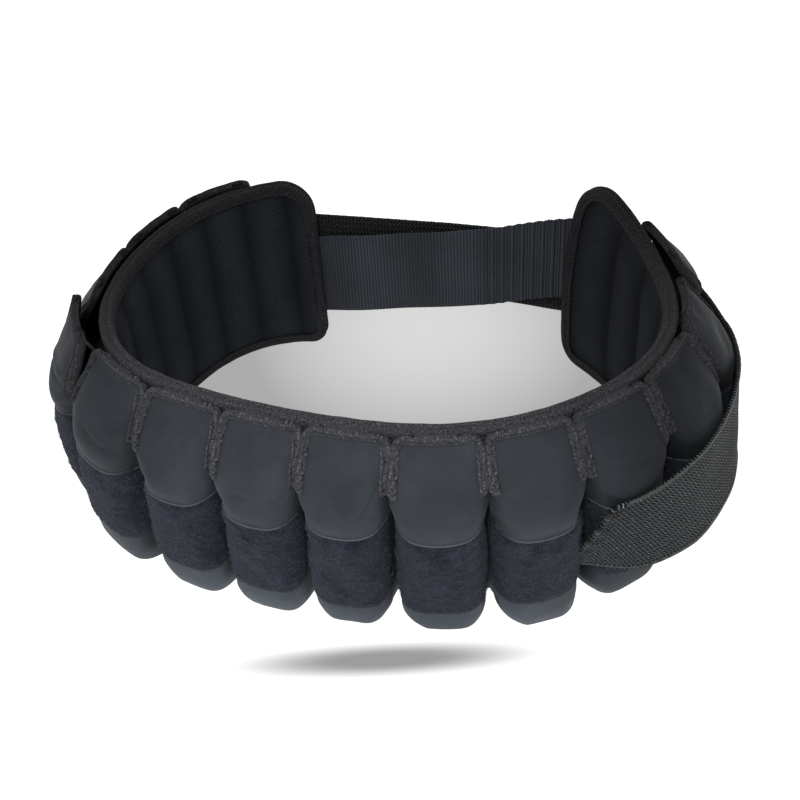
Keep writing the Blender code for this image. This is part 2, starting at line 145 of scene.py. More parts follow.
def noise(points):
    """Gradient noise of points (..., 3), about -0.7 to 0.7."""
    points = np.asarray(points, float)
    cell = np.floor(points).astype(int)
    inside = points - cell
    ease = inside * inside * inside * (inside * (inside * 6 - 15) + 10)
    cell &= 255
    total = 0.0
    for corner in np.ndindex(2, 2, 2):
        pick = 0
        weight = 1.0
        for axis, step in enumerate(corner):
            pick = NOISE_ORDER[pick + ((cell[..., axis] + step) & 255)]
            weight = weight * (ease[..., axis] if step else 1 - ease[..., axis])
        total = total + weight * (NOISE_SLOPES[pick] * (inside - np.array(corner))).sum(-1)
    return total


def layered_noise(points, octaves=3):
    return sum(0.5 ** i * noise(np.asarray(points) * 2.0 ** i + 17.3 * i)
               for i in range(octaves))


# ----------------------------------------------------------------------------
# Belt coordinates
# ----------------------------------------------------------------------------
LINE_STEP = 0.0005
LINE_SPARE = 0.010              # the line is worked out this far past the ends
HEADING_SAMPLES = 12            # averaged over one pitch, to ease arc into arc


def arc_heading(along):
    rest, angle = along - LEFT_END, START_HEADING
    for length, turn in ARCS[:-1]:
        if rest <= length:
            break
        angle += turn
        rest -= length
    else:
        length, turn = ARCS[-1]
    return math.radians(angle + turn * rest / length)


line_along = np.arange(LEFT_END - LINE_SPARE, RIGHT_END + LINE_SPARE + LINE_STEP / 2, LINE_STEP)
line_heading = np.array([
    sum(arc_heading(along + PITCH * ((i + 0.5) / HEADING_SAMPLES - 0.5))
        for i in range(HEADING_SAMPLES)) / HEADING_SAMPLES
    for along in line_along])
mean_heading = (line_heading[1:] + line_heading[:-1]) / 2
line_x = np.concatenate([[0.0], np.cumsum(np.cos(mean_heading) * LINE_STEP)])
line_y = np.concatenate([[0.0], np.cumsum(np.sin(mean_heading) * LINE_STEP)])
belt_origin = np.zeros(3)


def heading_at(along):
    return np.interp(along, line_along, line_heading)


def belt_point(along, out, z):
    """Belt coordinates to the row frame; arrays in, (..., 3) out."""
    along, out, z = np.broadcast_arrays(np.asarray(along, float), np.asarray(out, float),
                                        np.asarray(z, float))
    # past the ends the band's line runs on straight
    held = np.clip(along, line_along[0], line_along[-1])
    over = along - held
    heading = heading_at(held)
    x = np.interp(held, line_along, line_x) + over * np.cos(heading) + out * np.sin(heading)
    y = np.interp(held, line_along, line_y) + over * np.sin(heading) - out * np.cos(heading)
    return np.stack([x, y, z], -1) + belt_origin


def plan_point(along, out):
    return belt_point(along, out, 0.0)[..., :2]


FLARE_START = 4.6 * PITCH       # the right wing's end is shaped from here on
LEFT_FLARE_START = -7.4 * PITCH


def lift_at(along):
    """The right wing's end is drawn up by its straps."""
    return 0.0140 * smooth01(along, FLARE_START, RIGHT_END)


def edge_drop(distance, radius):
    """How far a round corner falls back at a distance from the edge."""
    distance = np.minimum(distance, radius)
    return radius - np.sqrt(np.maximum(0.0, radius ** 2 - (radius - distance) ** 2))


# share of the band's height, push along the band
END_FLARE = ((0.0, 0.0060), (0.25, 0.0120), (0.5, 0.0150), (0.75, 0.0125),
             (1.0, 0.0050), (1.1, 0.0010))


def band_point(along, out, z):
    """As belt_point, for the band itself: the right wing's end flares up and
    its foot tucks in, the left wing's top corner stands a little."""
    along, out, z = np.broadcast_arrays(np.asarray(along, float), np.asarray(out, float),
                                        np.asarray(z, float))
    right = np.clip((along - FLARE_START) / (RIGHT_END - FLARE_START), 0, 1.05) ** 2
    left = np.clip((LEFT_FLARE_START - along) / (LEFT_FLARE_START - LEFT_END), 0, 1.05) ** 2
    height = np.clip(z / BAND_TOP, 0, 1.1)
    foot = 1 - np.minimum(height, 1)
    return belt_point(along + follow(height, END_FLARE) * right,
                      out - 0.0095 * right * foot,
                      z + 0.0125 * right * height - 0.80 * lift_at(along) * foot ** 1.5
                      + 0.0060 * left * height)


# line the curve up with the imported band, at the stations the band is built on
corner_run = TOP_RADIUS * (1 - np.cos(np.radians([0, 30, 60, 90])))
stations = np.concatenate([LEFT_END + corner_run,
                           FIRST_EDGE + np.arange(3 * POCKETS + 1) * PITCH / 3,
                           RIGHT_END - corner_run])
band_plan = np.concatenate([plan_point(stations, 0.0), plan_point(stations, -BAND_THICK)])
band_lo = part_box("belt_band")[0]
belt_origin[:] = (band_lo.x - band_plan[:, 0].min(), band_lo.y - band_plan[:, 1].min(),
                  band_lo.z - BAND_BOTTOM)


# ----------------------------------------------------------------------------
# Mesh helpers
# ----------------------------------------------------------------------------
def grid_normals(points):
    return unit(np.cross(np.gradient(points, axis=1), np.gradient(points, axis=0)))


def cloth_of_grid(points):
    """Cloth coordinates in metres from the grid itself, 0 at the middle column."""
    cloth = np.zeros(points.shape)
    step = np.linalg.norm(np.diff(points, axis=1), axis=-1)
    cloth[:, 1:, 0] = np.cumsum(step, axis=1)
    middle = points.shape[1] // 2
    cloth[..., 0] -= cloth[:, middle:middle + 1, 0]
    step = np.linalg.norm(np.diff(points, axis=0), axis=-1)
    cloth[1:, :, 1] = np.cumsum(step, axis=0)
    return cloth


def bilinear(field, row, col):
    row0 = np.clip(np.floor(row).astype(int), 0, field.shape[0] - 2)
    col0 = np.clip(np.floor(col).astype(int), 0, field.shape[1] - 2)
    down, right = (row - row0)[..., None], (col - col0)[..., None]
    return (field[row0, col0] * (1 - down) * (1 - right)
            + field[row0 + 1, col0] * down * (1 - right)
            + field[row0, col0 + 1] * (1 - down) * right
            + field[row0 + 1, col0 + 1] * down * right)


def blur(field, times=1):
    for _ in range(times):
        wide = np.pad(field, ((1, 1), (1, 1), (0, 0)), mode="edge")
        field = (wide[1:-1, 1:-1] * 4
                 + (wide[:-2, 1:-1] + wide[2:, 1:-1] + wide[1:-1, :-2] + wide[1:-1, 2:]) * 2
                 + wide[:-2, :-2] + wide[2:, 2:] + wide[:-2, 2:] + wide[2:, :-2]) / 16
    return field


def rim_fade(count, low, high):
    """0..1 from either end of a run of grid lines toward its middle."""
    index = np.arange(count)
    return smooth01(np.minimum(index, count - 1 - index) * 1.0, low, high)


class Surface:
    """A finished grid that other pieces are laid on."""

    def __init__(self, points):
        self.points = points
        self.normals = grid_normals(points)
        self.rows, self.cols = points.shape[:2]

    def at(self, row, col):
        """Point and normal at fractional grid places."""
        row = np.clip(row, 0, self.rows - 1.001)
        col = np.clip(col, 0, self.cols - 1.001)
        return bilinear(self.points, row, col), unit(bilinear(self.normals, row, col))


class MeshParts:
    """Collects vertices, faces, cloth coordinates and material numbers."""

    def __init__(self):
        self.verts, self.cloth, self.faces, self.mats = [], [], [], []
        self.count = 0

    def face(self, indices, mat=0):
        self.faces.append(tuple(int(i) for i in indices))
        self.mats.append(mat)

    def add(self, verts, cloth, faces=(), mat=0):
        base = self.count
        verts = np.asarray(verts, float).reshape(-1, 3)
        self.verts.append(verts)
        self.cloth.append(np.asarray(cloth, float).reshape(-1, 3))
        for face in faces:
            self.face([i + base for i in face], mat)
        self.count += len(verts)

    def grid(self, points, cloth, mat=0, wrap_cols=False, wrap_rows=False, flip=False):
        rows, cols = points.shape[:2]
        faces = []
        for r in range(rows if wrap_rows else rows - 1):
            here, above = r * cols, ((r + 1) % rows) * cols
            for c in range(cols if wrap_cols else cols - 1):
                d = (c + 1) % cols
                quad = (here + c, here + d, above + d, above + c)
                faces.append(quad[::-1] if flip else quad)
        self.add(points, cloth, faces, mat)

    def shell(self, outer, cloth, thick, inner_mat=0, normals=None):
        """Closed sheet: outer face, thickness inward, rounded rims."""
        rows, cols = outer.shape[:2]
        if normals is None:
            normals = grid_normals(outer)
        thick = np.broadcast_to(np.asarray(thick, float), (rows, cols))[..., None]
        inner = outer - normals * thick
        outer_base = self.count
        self.grid(outer, cloth)
        inner_base = self.count
        inner_cloth = cloth.copy()
        inner_cloth[..., 2] = 1.0
        self.grid(inner, inner_cloth, inner_mat, flip=True)
        loop = np.array([(0, c) for c in range(cols)]
                        + [(r, cols - 1) for r in range(1, rows)]
                        + [(rows - 1, c) for c in range(cols - 2, -1, -1)]
                        + [(r, 0) for r in range(rows - 2, 0, -1)])
        rim = (loop[:, 0], loop[:, 1])
        inside = (np.clip(rim[0], 1, rows - 2), np.clip(rim[1], 1, cols - 2))
        outward = unit(outer[rim] - outer[inside])
        middle = (outer[rim] + inner[rim]) / 2
        rim_index = rim[0] * cols + rim[1]
        rings = [rim_index + outer_base]
        for degrees in (45, 90, 135):
            angle = math.radians(degrees)
            rings.append(np.arange(len(loop)) + self.count)
            self.add(middle + thick[rim] / 2 * (math.cos(angle) * normals[rim]
                                                + math.sin(angle) * outward), cloth[rim])
        rings.append(rim_index + inner_base)
        for a, b in zip(rings, rings[1:]):
            for i in range(len(loop)):
                j = (i + 1) % len(loop)
                self.face((a[i], b[i], b[j], a[j]))

    def tube(self, path, radius, mat=0, sides=6, caps=True, start=(0.0, 0.0)):
        """Round cord along a path. radius may be one number or per point;
        start is where its cloth coordinates begin."""
        path = np.asarray(path, float)
        count = len(path)
        forward = unit(np.gradient(path, axis=0))
        across = np.cross(forward, np.array([0.0, 0.0, 1.0]))
        upright = np.linalg.norm(across, axis=1) < 0.15
        across[upright] = np.cross(forward[upright], np.array([0.31, 0.95, 0.0]))
        across = unit(across)
        over = unit(np.cross(across, forward))
        radius = np.broadcast_to(np.asarray(radius, float), (count,))[:, None, None]
        angle = np.arange(sides) * 2 * math.pi / sides
        points = path[:, None] + radius * (np.cos(angle)[None, :, None] * across[:, None]
                                           + np.sin(angle)[None, :, None] * over[:, None])
        cloth = xyz(start[0] + run_of(path)[:, None], start[1] + angle[None, :] * 0.0005, 0.0)
        base = self.count
        self.grid(points, cloth, mat, wrap_cols=True)
        if caps:
            self.face(range(base + sides - 1, base - 1, -1), mat)
            last = base + (count - 1) * sides
            self.face(range(last, last + sides), mat)

    def build(self, name, materials):
        data = bpy.data.meshes.new(name)
        data.from_pydata(np.concatenate(self.verts).tolist(), [], self.faces)
        data.polygons.foreach_set("material_index", np.array(self.mats, np.int32))
        data.shade_smooth()
        cloth = data.attributes.new("cloth", "FLOAT_VECTOR", "POINT")
        cloth.data.foreach_set("vector", np.concatenate(self.cloth).astype(np.float32).ravel())
        for material in materials:
            data.materials.append(material)
        bm = bmesh.new()
        bm.from_mesh(data)
        bmesh.ops.recalc_face_normals(bm, faces=bm.faces)
        bm.to_mesh(data)
        bm.free()
        data.update()
        piece = bpy.data.objects.new(name, data)
        bpy.context.scene.collection.objects.link(piece)
        return piece

    def piece(self, name, materials, slot, *replaced, ride=None):
        """Build the object, hide the imported parts it replaces and attach it to its body."""
        piece = self.build(name, materials)
        if replaced:
            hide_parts(*replaced)
        if ride:
            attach(piece, ride)
        return piece


# ----------------------------------------------------------------------------
# Materials
# ----------------------------------------------------------------------------
WEB_COLUMN = 0.0046             # width of the webbing's woven columns


def srgb(*channels):
    def linear(value):
        value /= 255.0
        return value / 12.92 if value <= 0.04045 else ((value + 0.055) / 1.055) ** 2.4
    return (*map(linear, channels), 1.0)


class Shader:
    """Short hand for node graphs."""

    def __init__(self, name):
        self.material = bpy.data.materials.new(name)
        self.material.use_nodes = True
        self.tree = self.material.node_tree
        self.bsdf = self.tree.nodes["Principled BSDF"]

    def node(self, kind):
        return self.tree.nodes.new("ShaderNode" + kind)

    def link(self, value, socket):
        if isinstance(value, bpy.types.NodeSocket):
            self.tree.links.new(value, socket)
        elif socket.type == 'VECTOR':
            socket.default_value = tuple(value)[:3]
        else:
            socket.default_value = value

    def split(self, vector):
        node = self.node("SeparateXYZ")
        self.link(vector, node.inputs[0])
        return node.outputs

    @cached_property
    def cloth(self):
        """Cloth coordinates, in metres along and across the piece."""
        node = self.node("Attribute")
        node.attribute_name = "cloth"
        return node.outputs["Vector"]

    @cached_property
    def cloth_axes(self):
        return self.split(self.cloth)

    @property
    def x(self):
        return self.cloth_axes[0]

    @property
    def y(self):
        return self.cloth_axes[1]

    @cached_property
    def place(self):
        """Coordinates in the row frame."""
        return self.node("TexCoord").outputs["Object"]

    def math(self, operation, a, b=0.0, c=None, clamp=False):
        node = self.node("Math")
        node.operation = operation
        node.use_clamp = clamp
        self.link(a, node.inputs[0])
        self.link(b, node.inputs[1])
        if c is not None:
            self.link(c, node.inputs[2])
        return node.outputs[0]

    def mul(self, *terms):
        return reduce(lambda a, b: self.math("MULTIPLY", a, b), terms)

    def sum(self, *terms, offset=None):
        """Terms are sockets or (socket, weight) pairs."""
        parts = [self.mul(*term) if isinstance(term, tuple) else term for term in terms]
        if offset is not None:
            parts.append(offset)
        return reduce(lambda a, b: self.math("ADD", a, b), parts)

    def linear(self, value, slope, offset, clamp=False):
        return self.math("MULTIPLY_ADD", value, slope, offset, clamp=clamp)

    def ramp01(self, value, slope, offset):
        """As linear, held to 0..1."""
        return self.linear(value, slope, offset, clamp=True)

    def above(self, value, limit):
        return self.math("GREATER_THAN", value, limit)

    def wave(self, value, period, sharp=1.0):
        """0..1 wave across a coordinate, one crest per period."""
        wave = self.math("SINE", self.mul(value, 2 * math.pi / period))
        wave = self.linear(wave, slope=0.5, offset=0.5)
        return self.math("POWER", wave, sharp) if sharp != 1.0 else wave

    def weave(self, period):
        return self.mul(self.wave(self.x, period), self.wave(self.y, period))

    def noise(self, vector, scale, detail=2.0, rough=0.5, output="Fac"):
        node = self.node("TexNoise")
        self.link(vector, node.inputs["Vector"])
        node.inputs["Scale"].default_value = scale
        node.inputs["Detail"].default_value = detail
        node.inputs["Roughness"].default_value = rough
        node.inputs["Distortion"].default_value = 0.0
        return node.outputs[output]

    def cell_edges(self, vector, scale):
        node = self.node("TexVoronoi")
        node.feature = "DISTANCE_TO_EDGE"
        self.link(vector, node.inputs["Vector"])
        node.inputs["Scale"].default_value = scale
        return node.outputs["Distance"]

    def greys(self, value, *stops):
        """Colour ramp of (position, grey) stops."""
        node = self.node("ValToRGB")
        self.link(value, node.inputs[0])
        elements = node.color_ramp.elements
        while len(elements) < len(stops):
            elements.new(0.5)
        for i, (position, grey) in enumerate(stops):
            elements[i].position = position
            elements[i].color = (grey, grey, grey, 1.0)
        return node.outputs[0]

    def mix(self, under, over, where, amount=None):
        if amount is not None:
            where = self.mul(where, amount)
        node = self.node("Mix")
        node.data_type = 'RGBA'
        self.link(where, node.inputs[0])
        self.link(under, node.inputs[6])
        self.link(over, node.inputs[7])
        return node.outputs[2]

    def shade(self, colour, factor):
        node = self.node("VectorMath")
        node.operation = 'SCALE'
        self.link(colour, node.inputs[0])
        self.link(factor, node.inputs[3])
        return node.outputs[0]

    def bump(self, height, distance, strength, under=None):
        node = self.node("Bump")
        node.inputs["Strength"].default_value = strength
        node.inputs["Distance"].default_value = distance
        self.link(height, node.inputs["Height"])
        if under is not None:
            self.link(under, node.inputs["Normal"])
        return node.outputs[0]

    def finish(self, colour, rough, normal=None, sheen=0.0, sheen_rough=0.5,
               specular=0.35, sheen_tint=(1, 1, 1, 1)):
        inputs = self.bsdf.inputs
        self.link(colour, inputs["Base Color"])
        self.link(rough, inputs["Roughness"])
        if normal is not None:
            self.link(normal, inputs["Normal"])
        inputs["Sheen Weight"].default_value = sheen
        inputs["Sheen Roughness"].default_value = sheen_rough
        inputs["Sheen Tint"].default_value = sheen_tint
        inputs["Specular IOR Level"].default_value = specular
        return self.material


def painted_side_shade(g, colour, right, left):
    """Painted shade: cloth toward the +X and -X sides of the belt is darkened."""
    x = g.split(g.place)[0]
    at_right = g.ramp01(x, slope=10.5, offset=-0.80)
    at_left = g.ramp01(x, slope=-9.0, offset=-1.15)
    keep = g.math("SUBTRACT", 1.0, g.mul(at_right, right))
    return g.shade(colour, g.math("SUBTRACT", keep, g.mul(at_left, left)))


def pocket_fabric():
    """Smooth coated nylon: faint blotches, fine plain weave, soft sheen."""
    g = Shader("pocket_fabric")
    blotch = g.noise(g.place, scale=34.0, detail=3.0, rough=0.55)
    mottle = g.noise(g.place, scale=150.0)
    fine = g.noise(g.cloth, scale=2600.0, detail=1.0)
    tone = g.sum((blotch, 0.95), (mottle, 0.30), (fine, 0.22), offset=0.27)
    colour = g.shade(srgb(54, 59, 65), tone)
    cool = g.noise(g.place, scale=21.0, detail=1.0)
    colour = g.mix(colour, g.shade(srgb(52, 58, 68), tone), cool, amount=0.30)
    # worn, lighter flecks where threads are raised
    fleck = g.above(g.noise(g.cloth, scale=1500.0, detail=0.0), limit=0.79)
    colour = g.mix(colour, srgb(112, 116, 120), fleck, amount=0.28)
    # painted shade: darker toward the belt's sides
    colour = painted_side_shade(g, colour, right=0.70, left=0.56)
    # painted shade: the pouch side walls are darkened
    wall = g.ramp01(g.math("ABSOLUTE", g.x), slope=110.0, offset=-2.95)
    colour = g.shade(colour, g.linear(wall, slope=-0.58, offset=1.0))
    # painted light: the bottom facets are made paler toward the floor
    low = g.ramp01(g.split(g.place)[2], slope=-32.0, offset=1.50)
    colour = g.shade(colour, g.linear(low, slope=0.90, offset=1.0))
    normal = g.bump(g.noise(g.place, scale=75.0, detail=3.0, rough=0.6),
                    distance=0.0011, strength=0.55)
    height = g.sum((g.weave(period=0.0009), 0.6), (fine, 0.7))
    normal = g.bump(height, distance=0.00016, strength=0.75, under=normal)
    return g.finish(colour, g.linear(mottle, slope=0.14, offset=0.70), normal, sheen=0.07,
                    sheen_rough=0.45, specular=0.26, sheen_tint=(0.85, 0.92, 1.0, 1))


def inside_fabric():
    g = Shader("pocket_inside")
    tone = g.sum(g.noise(g.place, scale=120.0, detail=3.0), offset=0.55)
    normal = g.bump(g.weave(period=0.0012), distance=0.00025, strength=0.8)
    return g.finish(g.shade(srgb(26, 28, 31), tone), 0.9, normal, sheen=0.08, specular=0.2)


def loop_pile():
    """Loop pile: blue-black mat of curled fibres."""
    g = Shader("loop_pile")
    warp = g.node("VectorMath")
    warp.operation = 'MULTIPLY_ADD'
    g.link(g.noise(g.place, scale=420.0, output="Color"), warp.inputs[0])
    warp.inputs[1].default_value = (0.0042, 0.0042, 0.0042)
    g.link(g.place, warp.inputs[2])
    curls = g.greys(g.cell_edges(warp.outputs[0], scale=430.0),
                    (0.0, 1.0), (0.085, 0.5), (0.2, 0.0))
    small_curls = g.greys(g.cell_edges(warp.outputs[0], scale=820.0),
                          (0.0, 1.0), (0.10, 0.4), (0.24, 0.0))
    patchy = g.ramp01(g.noise(g.place, scale=95.0, detail=3.0, rough=0.6),
                      slope=2.6, offset=-0.75)
    lines = g.mul(g.math("MAXIMUM", curls, g.mul(small_curls, 0.7)), patchy)
    grain = g.noise(g.place, scale=900.0, rough=0.7)
    ground = g.shade(srgb(22, 24, 33), g.sum(grain, offset=0.36))
    colour = g.mix(ground, srgb(80, 83, 97), lines, amount=0.62)
    colour = g.shade(colour, g.linear(g.noise(g.place, scale=60.0), slope=0.8, offset=0.6))
    # painted shade: darker toward the patch's sides
    wall = g.ramp01(g.math("ABSOLUTE", g.x), slope=90.0, offset=-2.25)
    colour = g.shade(colour, g.linear(wall, slope=-0.55, offset=1.06))
    normal = g.bump(g.noise(g.place, scale=330.0, detail=3.0, rough=0.7),
                    distance=0.0012, strength=0.8)
    normal = g.bump(g.sum((lines, 0.9), (grain, 0.8)), distance=0.0006, strength=0.9,
                    under=normal)
    return g.finish(colour, 0.95, normal, sheen=0.10, sheen_rough=0.6, specular=0.10,
                    sheen_tint=(0.75, 0.82, 1.0, 1))


def loop_fibre():
    g = Shader("loop_fibre")
    tone = g.sum(g.noise(g.place, scale=700.0, detail=1.0), offset=0.45)
    return g.finish(g.shade(srgb(66, 70, 86), tone), 0.8, sheen=0.2, specular=0.15)


def binding_tape():
    """Grosgrain tape: fine cross ribs and pale melange speckles."""
    g = Shader("binding_tape")
    jitter = g.mul(g.noise(g.cloth, scale=700.0, detail=1.0), 0.0007)
    rib = g.wave(g.sum(g.x, jitter), period=0.0014, sharp=1.3)
    grain = g.noise(g.cloth, scale=820.0, detail=3.0, rough=0.85)
    base = g.shade(srgb(69, 69, 73), g.linear(grain, slope=2.4, offset=-0.20))
    speck = g.greys(g.noise(g.cloth, scale=640.0, detail=1.0, rough=0.6),
                    (0.0, 0.0), (0.58, 0.0), (0.68, 1.0))
    clump = g.ramp01(g.noise(g.place, scale=110.0), slope=1.2, offset=0.15)
    colour = g.mix(base, srgb(116, 117, 121), g.mul(speck, 0.95, clump))
    dark = g.greys(g.noise(g.cloth, scale=620.0, detail=1.0),
                   (0.0, 1.0), (0.33, 1.0), (0.42, 0.0))
    colour = g.mix(colour, srgb(22, 23, 25), dark, amount=0.75)
    colour = g.shade(colour, g.linear(rib, slope=0.40, offset=0.80))
    # painted shade: the tape is darkened toward the back
    far = g.ramp01(g.split(g.place)[1], slope=8.0, offset=0.55)
    colour = g.shade(colour, g.linear(far, slope=-0.78, offset=1.24))
    # painted shade: darker toward the belt's sides
    colour = painted_side_shade(g, colour, right=0.45, left=0.45)
    normal = g.bump(g.sum((rib, 0.7), (grain, 0.9)), distance=0.0008, strength=0.9)
    return g.finish(colour, 0.86, normal, sheen=0.04, sheen_rough=0.4, specular=0.14)


def lining_mesh():
    """Spacer mesh: dark knit with small staggered holes."""
    g = Shader("lining_mesh")
    hole_x, hole_y = 0.0026, 0.0021
    row = g.math("FLOOR", g.math("DIVIDE", g.y, hole_y))
    odd = g.math("MODULO", g.math("ABSOLUTE", row), 2.0)
    cell_x = g.math("FRACT", g.sum(g.math("DIVIDE", g.x, hole_x), (odd, 0.5)))
    cell_y = g.math("FRACT", g.math("DIVIDE", g.y, hole_y))
    from_x = g.math("SUBTRACT", cell_x, 0.5)
    from_y = g.math("SUBTRACT", cell_y, 0.5)
    distance = g.math("SQRT", g.sum((from_x, from_x), (from_y, from_y)))
    knit = g.greys(distance, (0.0, 0.0), (0.22, 0.0), (0.36, 1.0))
    fuzz = g.noise(g.cloth, scale=1600.0, rough=0.7)
    blotch = g.noise(g.place, scale=26.0, detail=3.0, rough=0.6)
    # painted shade: the quilted channels' soft upright folds are paler on their crests and
    # darker between them
    painted_channel_shade = g.math("ABSOLUTE", g.math("SINE", g.mul(
        g.math("SUBTRACT", g.x, CHANNEL_START), math.pi / CHANNEL)))
    tone = g.mul(g.linear(knit, slope=0.62, offset=0.38),
                 g.linear(blotch, slope=0.7, offset=0.6),
                 g.linear(fuzz, slope=0.7, offset=0.62),
                 g.linear(painted_channel_shade, slope=0.75, offset=0.50))
    # painted shade: darker toward the belt's right side
    colour = painted_side_shade(g, g.shade(srgb(45, 49, 56), tone), right=0.40, left=0.0)
    normal = g.bump(g.noise(g.place, scale=60.0), distance=0.0012, strength=0.5)
    normal = g.bump(g.sum(knit, (fuzz, 0.6)), distance=0.0006, strength=0.9, under=normal)
    return g.finish(colour, 0.94, normal, sheen=0.03, specular=0.10)


def band_fabric():
    g = Shader("band_fabric")
    weave = g.weave(period=0.0010)
    grain = g.noise(g.cloth, scale=1800.0, rough=0.6)
    blotch = g.noise(g.place, scale=30.0, detail=3.0)
    tone = g.sum((blotch, 0.7), (grain, 0.5), (weave, 0.25), offset=0.3)
    normal = g.bump(g.noise(g.place, scale=60.0, detail=3.0), distance=0.001, strength=0.5)
    normal = g.bump(weave, distance=0.0003, strength=0.8, under=normal)
    return g.finish(g.shade(srgb(38, 40, 44), tone), 0.85, normal, sheen=0.12, specular=0.25)


def elastic_web():
    """Woven elastic: fine vertical ribs, crossed by covering yarns."""
    g = Shader("elastic_web")
    wobble = g.noise(g.cloth, scale=260.0)
    rib = g.wave(g.sum(g.x, (wobble, 0.0006)), period=0.0026, sharp=1.5)
    yarn = g.wave(g.y, period=0.0011)
    grain = g.noise(g.cloth, scale=1700.0, rough=0.7)
    # painted shade: darker toward the right wing, where the elastic is gathered
    painted_pleat_shade = g.ramp01(g.x, slope=-9.0, offset=2.45)
    tone = g.mul(g.linear(rib, slope=0.55, offset=0.42),
                 g.linear(grain, slope=0.8, offset=0.6),
                 g.linear(yarn, slope=0.2, offset=0.9),
                 g.linear(g.noise(g.place, scale=24.0), slope=0.6, offset=0.7),
                 g.linear(painted_pleat_shade, slope=0.48, offset=0.52))
    normal = g.bump(g.sum((rib, 1.0), (yarn, 0.18)), distance=0.0008, strength=0.9)
    normal = g.bump(grain, distance=0.0003, strength=0.6, under=normal)
    return g.finish(g.shade(srgb(78, 83, 92), tone), 0.88, normal, sheen=0.06, specular=0.16)


def webbing():
    """Heavy webbing: columns of stacked chevrons."""
    g = Shader("webbing")
    wobble = g.mul(g.noise(g.cloth, scale=260.0), 0.0004)
    x, y = g.sum(g.x, wobble), g.sum(g.y, wobble)
    column = g.math("FRACT", g.math("DIVIDE", y, WEB_COLUMN))
    from_spine = g.math("ABSOLUTE", g.math("SUBTRACT", column, 0.5))
    yarn = g.wave(g.linear(from_spine, slope=WEB_COLUMN * 1.25, offset=x),
                  period=0.0028, sharp=2.2)
    spine = g.greys(from_spine, (0.0, 0.15), (0.07, 1.0), (0.42, 1.0), (0.5, 0.3))
    grain = g.noise(g.cloth, scale=1500.0, rough=0.7)
    height = g.mul(yarn, spine)
    tone = g.mul(g.linear(g.math("POWER", height, 1.25), slope=4.6, offset=0.02),
                 g.linear(grain, slope=0.6, offset=0.60),
                 g.linear(g.noise(g.place, scale=38.0), slope=0.8, offset=0.6))
    # painted highlight: pale glints on the raised yarns
    painted_glint = g.above(g.noise(g.cloth, scale=700.0, detail=1.0), limit=0.64)
    colour = g.mix(g.shade(srgb(52, 55, 58), tone), srgb(165, 172, 170),
                   g.mul(painted_glint, height), amount=0.9)
    # painted shade: darker further back along the strap
    back = g.ramp01(g.split(g.place)[1], slope=11.0, offset=1.15)
    colour = g.shade(colour, g.linear(back, slope=-0.62, offset=1.0))
    normal = g.bump(height, distance=0.0018, strength=0.8)
    normal = g.bump(grain, distance=0.0003, strength=0.4, under=normal)
    return g.finish(colour, 0.75, normal, sheen=0.03, sheen_rough=0.35, specular=0.22,
                    sheen_tint=(0.95, 1.0, 0.99, 1))


def webbing_edge():
    g = Shader("webbing_edge")
    yarn = g.wave(g.sum(g.x, (g.y, 0.6)), period=0.0016)
    grain = g.noise(g.cloth, scale=1500.0, rough=0.7)
    tone = g.mul(g.linear(yarn, slope=0.6, offset=0.5), g.linear(grain, slope=0.9, offset=0.6))
    return g.finish(g.shade(srgb(88, 92, 90), tone), 0.7,
                    g.bump(yarn, distance=0.0006, strength=0.9), sheen=0.2, sheen_rough=0.4)


def thread():
    g = Shader("thread")
    twist = g.wave(g.sum(g.x, (g.y, 2.0)), period=0.0006)
    tone = g.linear(twist, slope=0.5, offset=0.6)
    return g.finish(g.shade(srgb(70, 70, 72), tone), 0.6,
                    g.bump(twist, distance=0.00015, strength=0.8), sheen=0.1, specular=0.4)


def pocket_fold_highlight():
    """The turned edge of the flap, glossy from handling; its paler colour is a painted highlight
    along the fold.
    """
    g = Shader("pocket_fold_highlight")
    tone = g.sum((g.noise(g.cloth, scale=500.0, detail=3.0), 0.9), offset=0.5)
    normal = g.bump(g.noise(g.cloth, scale=900.0), distance=0.0003, strength=0.6)
    return g.finish(g.shade(srgb(70, 74, 80), tone), 0.5, normal, sheen=0.3,
                    sheen_rough=0.4, specular=0.5)


def weight_vinyl():
    """Vinyl skin over cast lead: orange peel, scuffed edges."""
    g = Shader("weight_vinyl")
    peel = g.noise(g.place, scale=420.0, detail=3.0, rough=0.6)
    scuff = g.ramp01(g.noise(g.place, scale=70.0, detail=6.0, rough=0.75),
                     slope=3.2, offset=-1.55)
    edge = g.ramp01(g.node("NewGeometry").outputs["Pointiness"], slope=7.0, offset=-3.55)
    wear = g.math("MULTIPLY", scuff, g.linear(edge, slope=0.8, offset=0.2), clamp=True)
    tone = g.sum(g.noise(g.place, scale=45.0, detail=3.0), offset=0.55)
    colour = g.mix(g.shade(srgb(44, 46, 50), tone), srgb(104, 106, 110), wear)
    return g.finish(colour, g.linear(wear, slope=0.3, offset=0.36),
                    g.bump(peel, distance=0.0004, strength=0.5), specular=0.5)


CHANNEL = PITCH * 0.66          # width of the lining's quilted channels
CHANNEL_START = 0.006

POCKET_FABRIC = pocket_fabric()
INSIDE_FABRIC = inside_fabric()
LOOP_PILE = loop_pile()
LOOP_FIBRE = loop_fibre()
BINDING = binding_tape()
LINING = lining_mesh()
BAND_FABRIC = band_fabric()
ELASTIC = elastic_web()
WEBBING = webbing()
WEBBING_EDGE = webbing_edge()
THREAD = thread()
FOLD_HIGHLIGHT = pocket_fold_highlight()
VINYL = weight_vinyl()


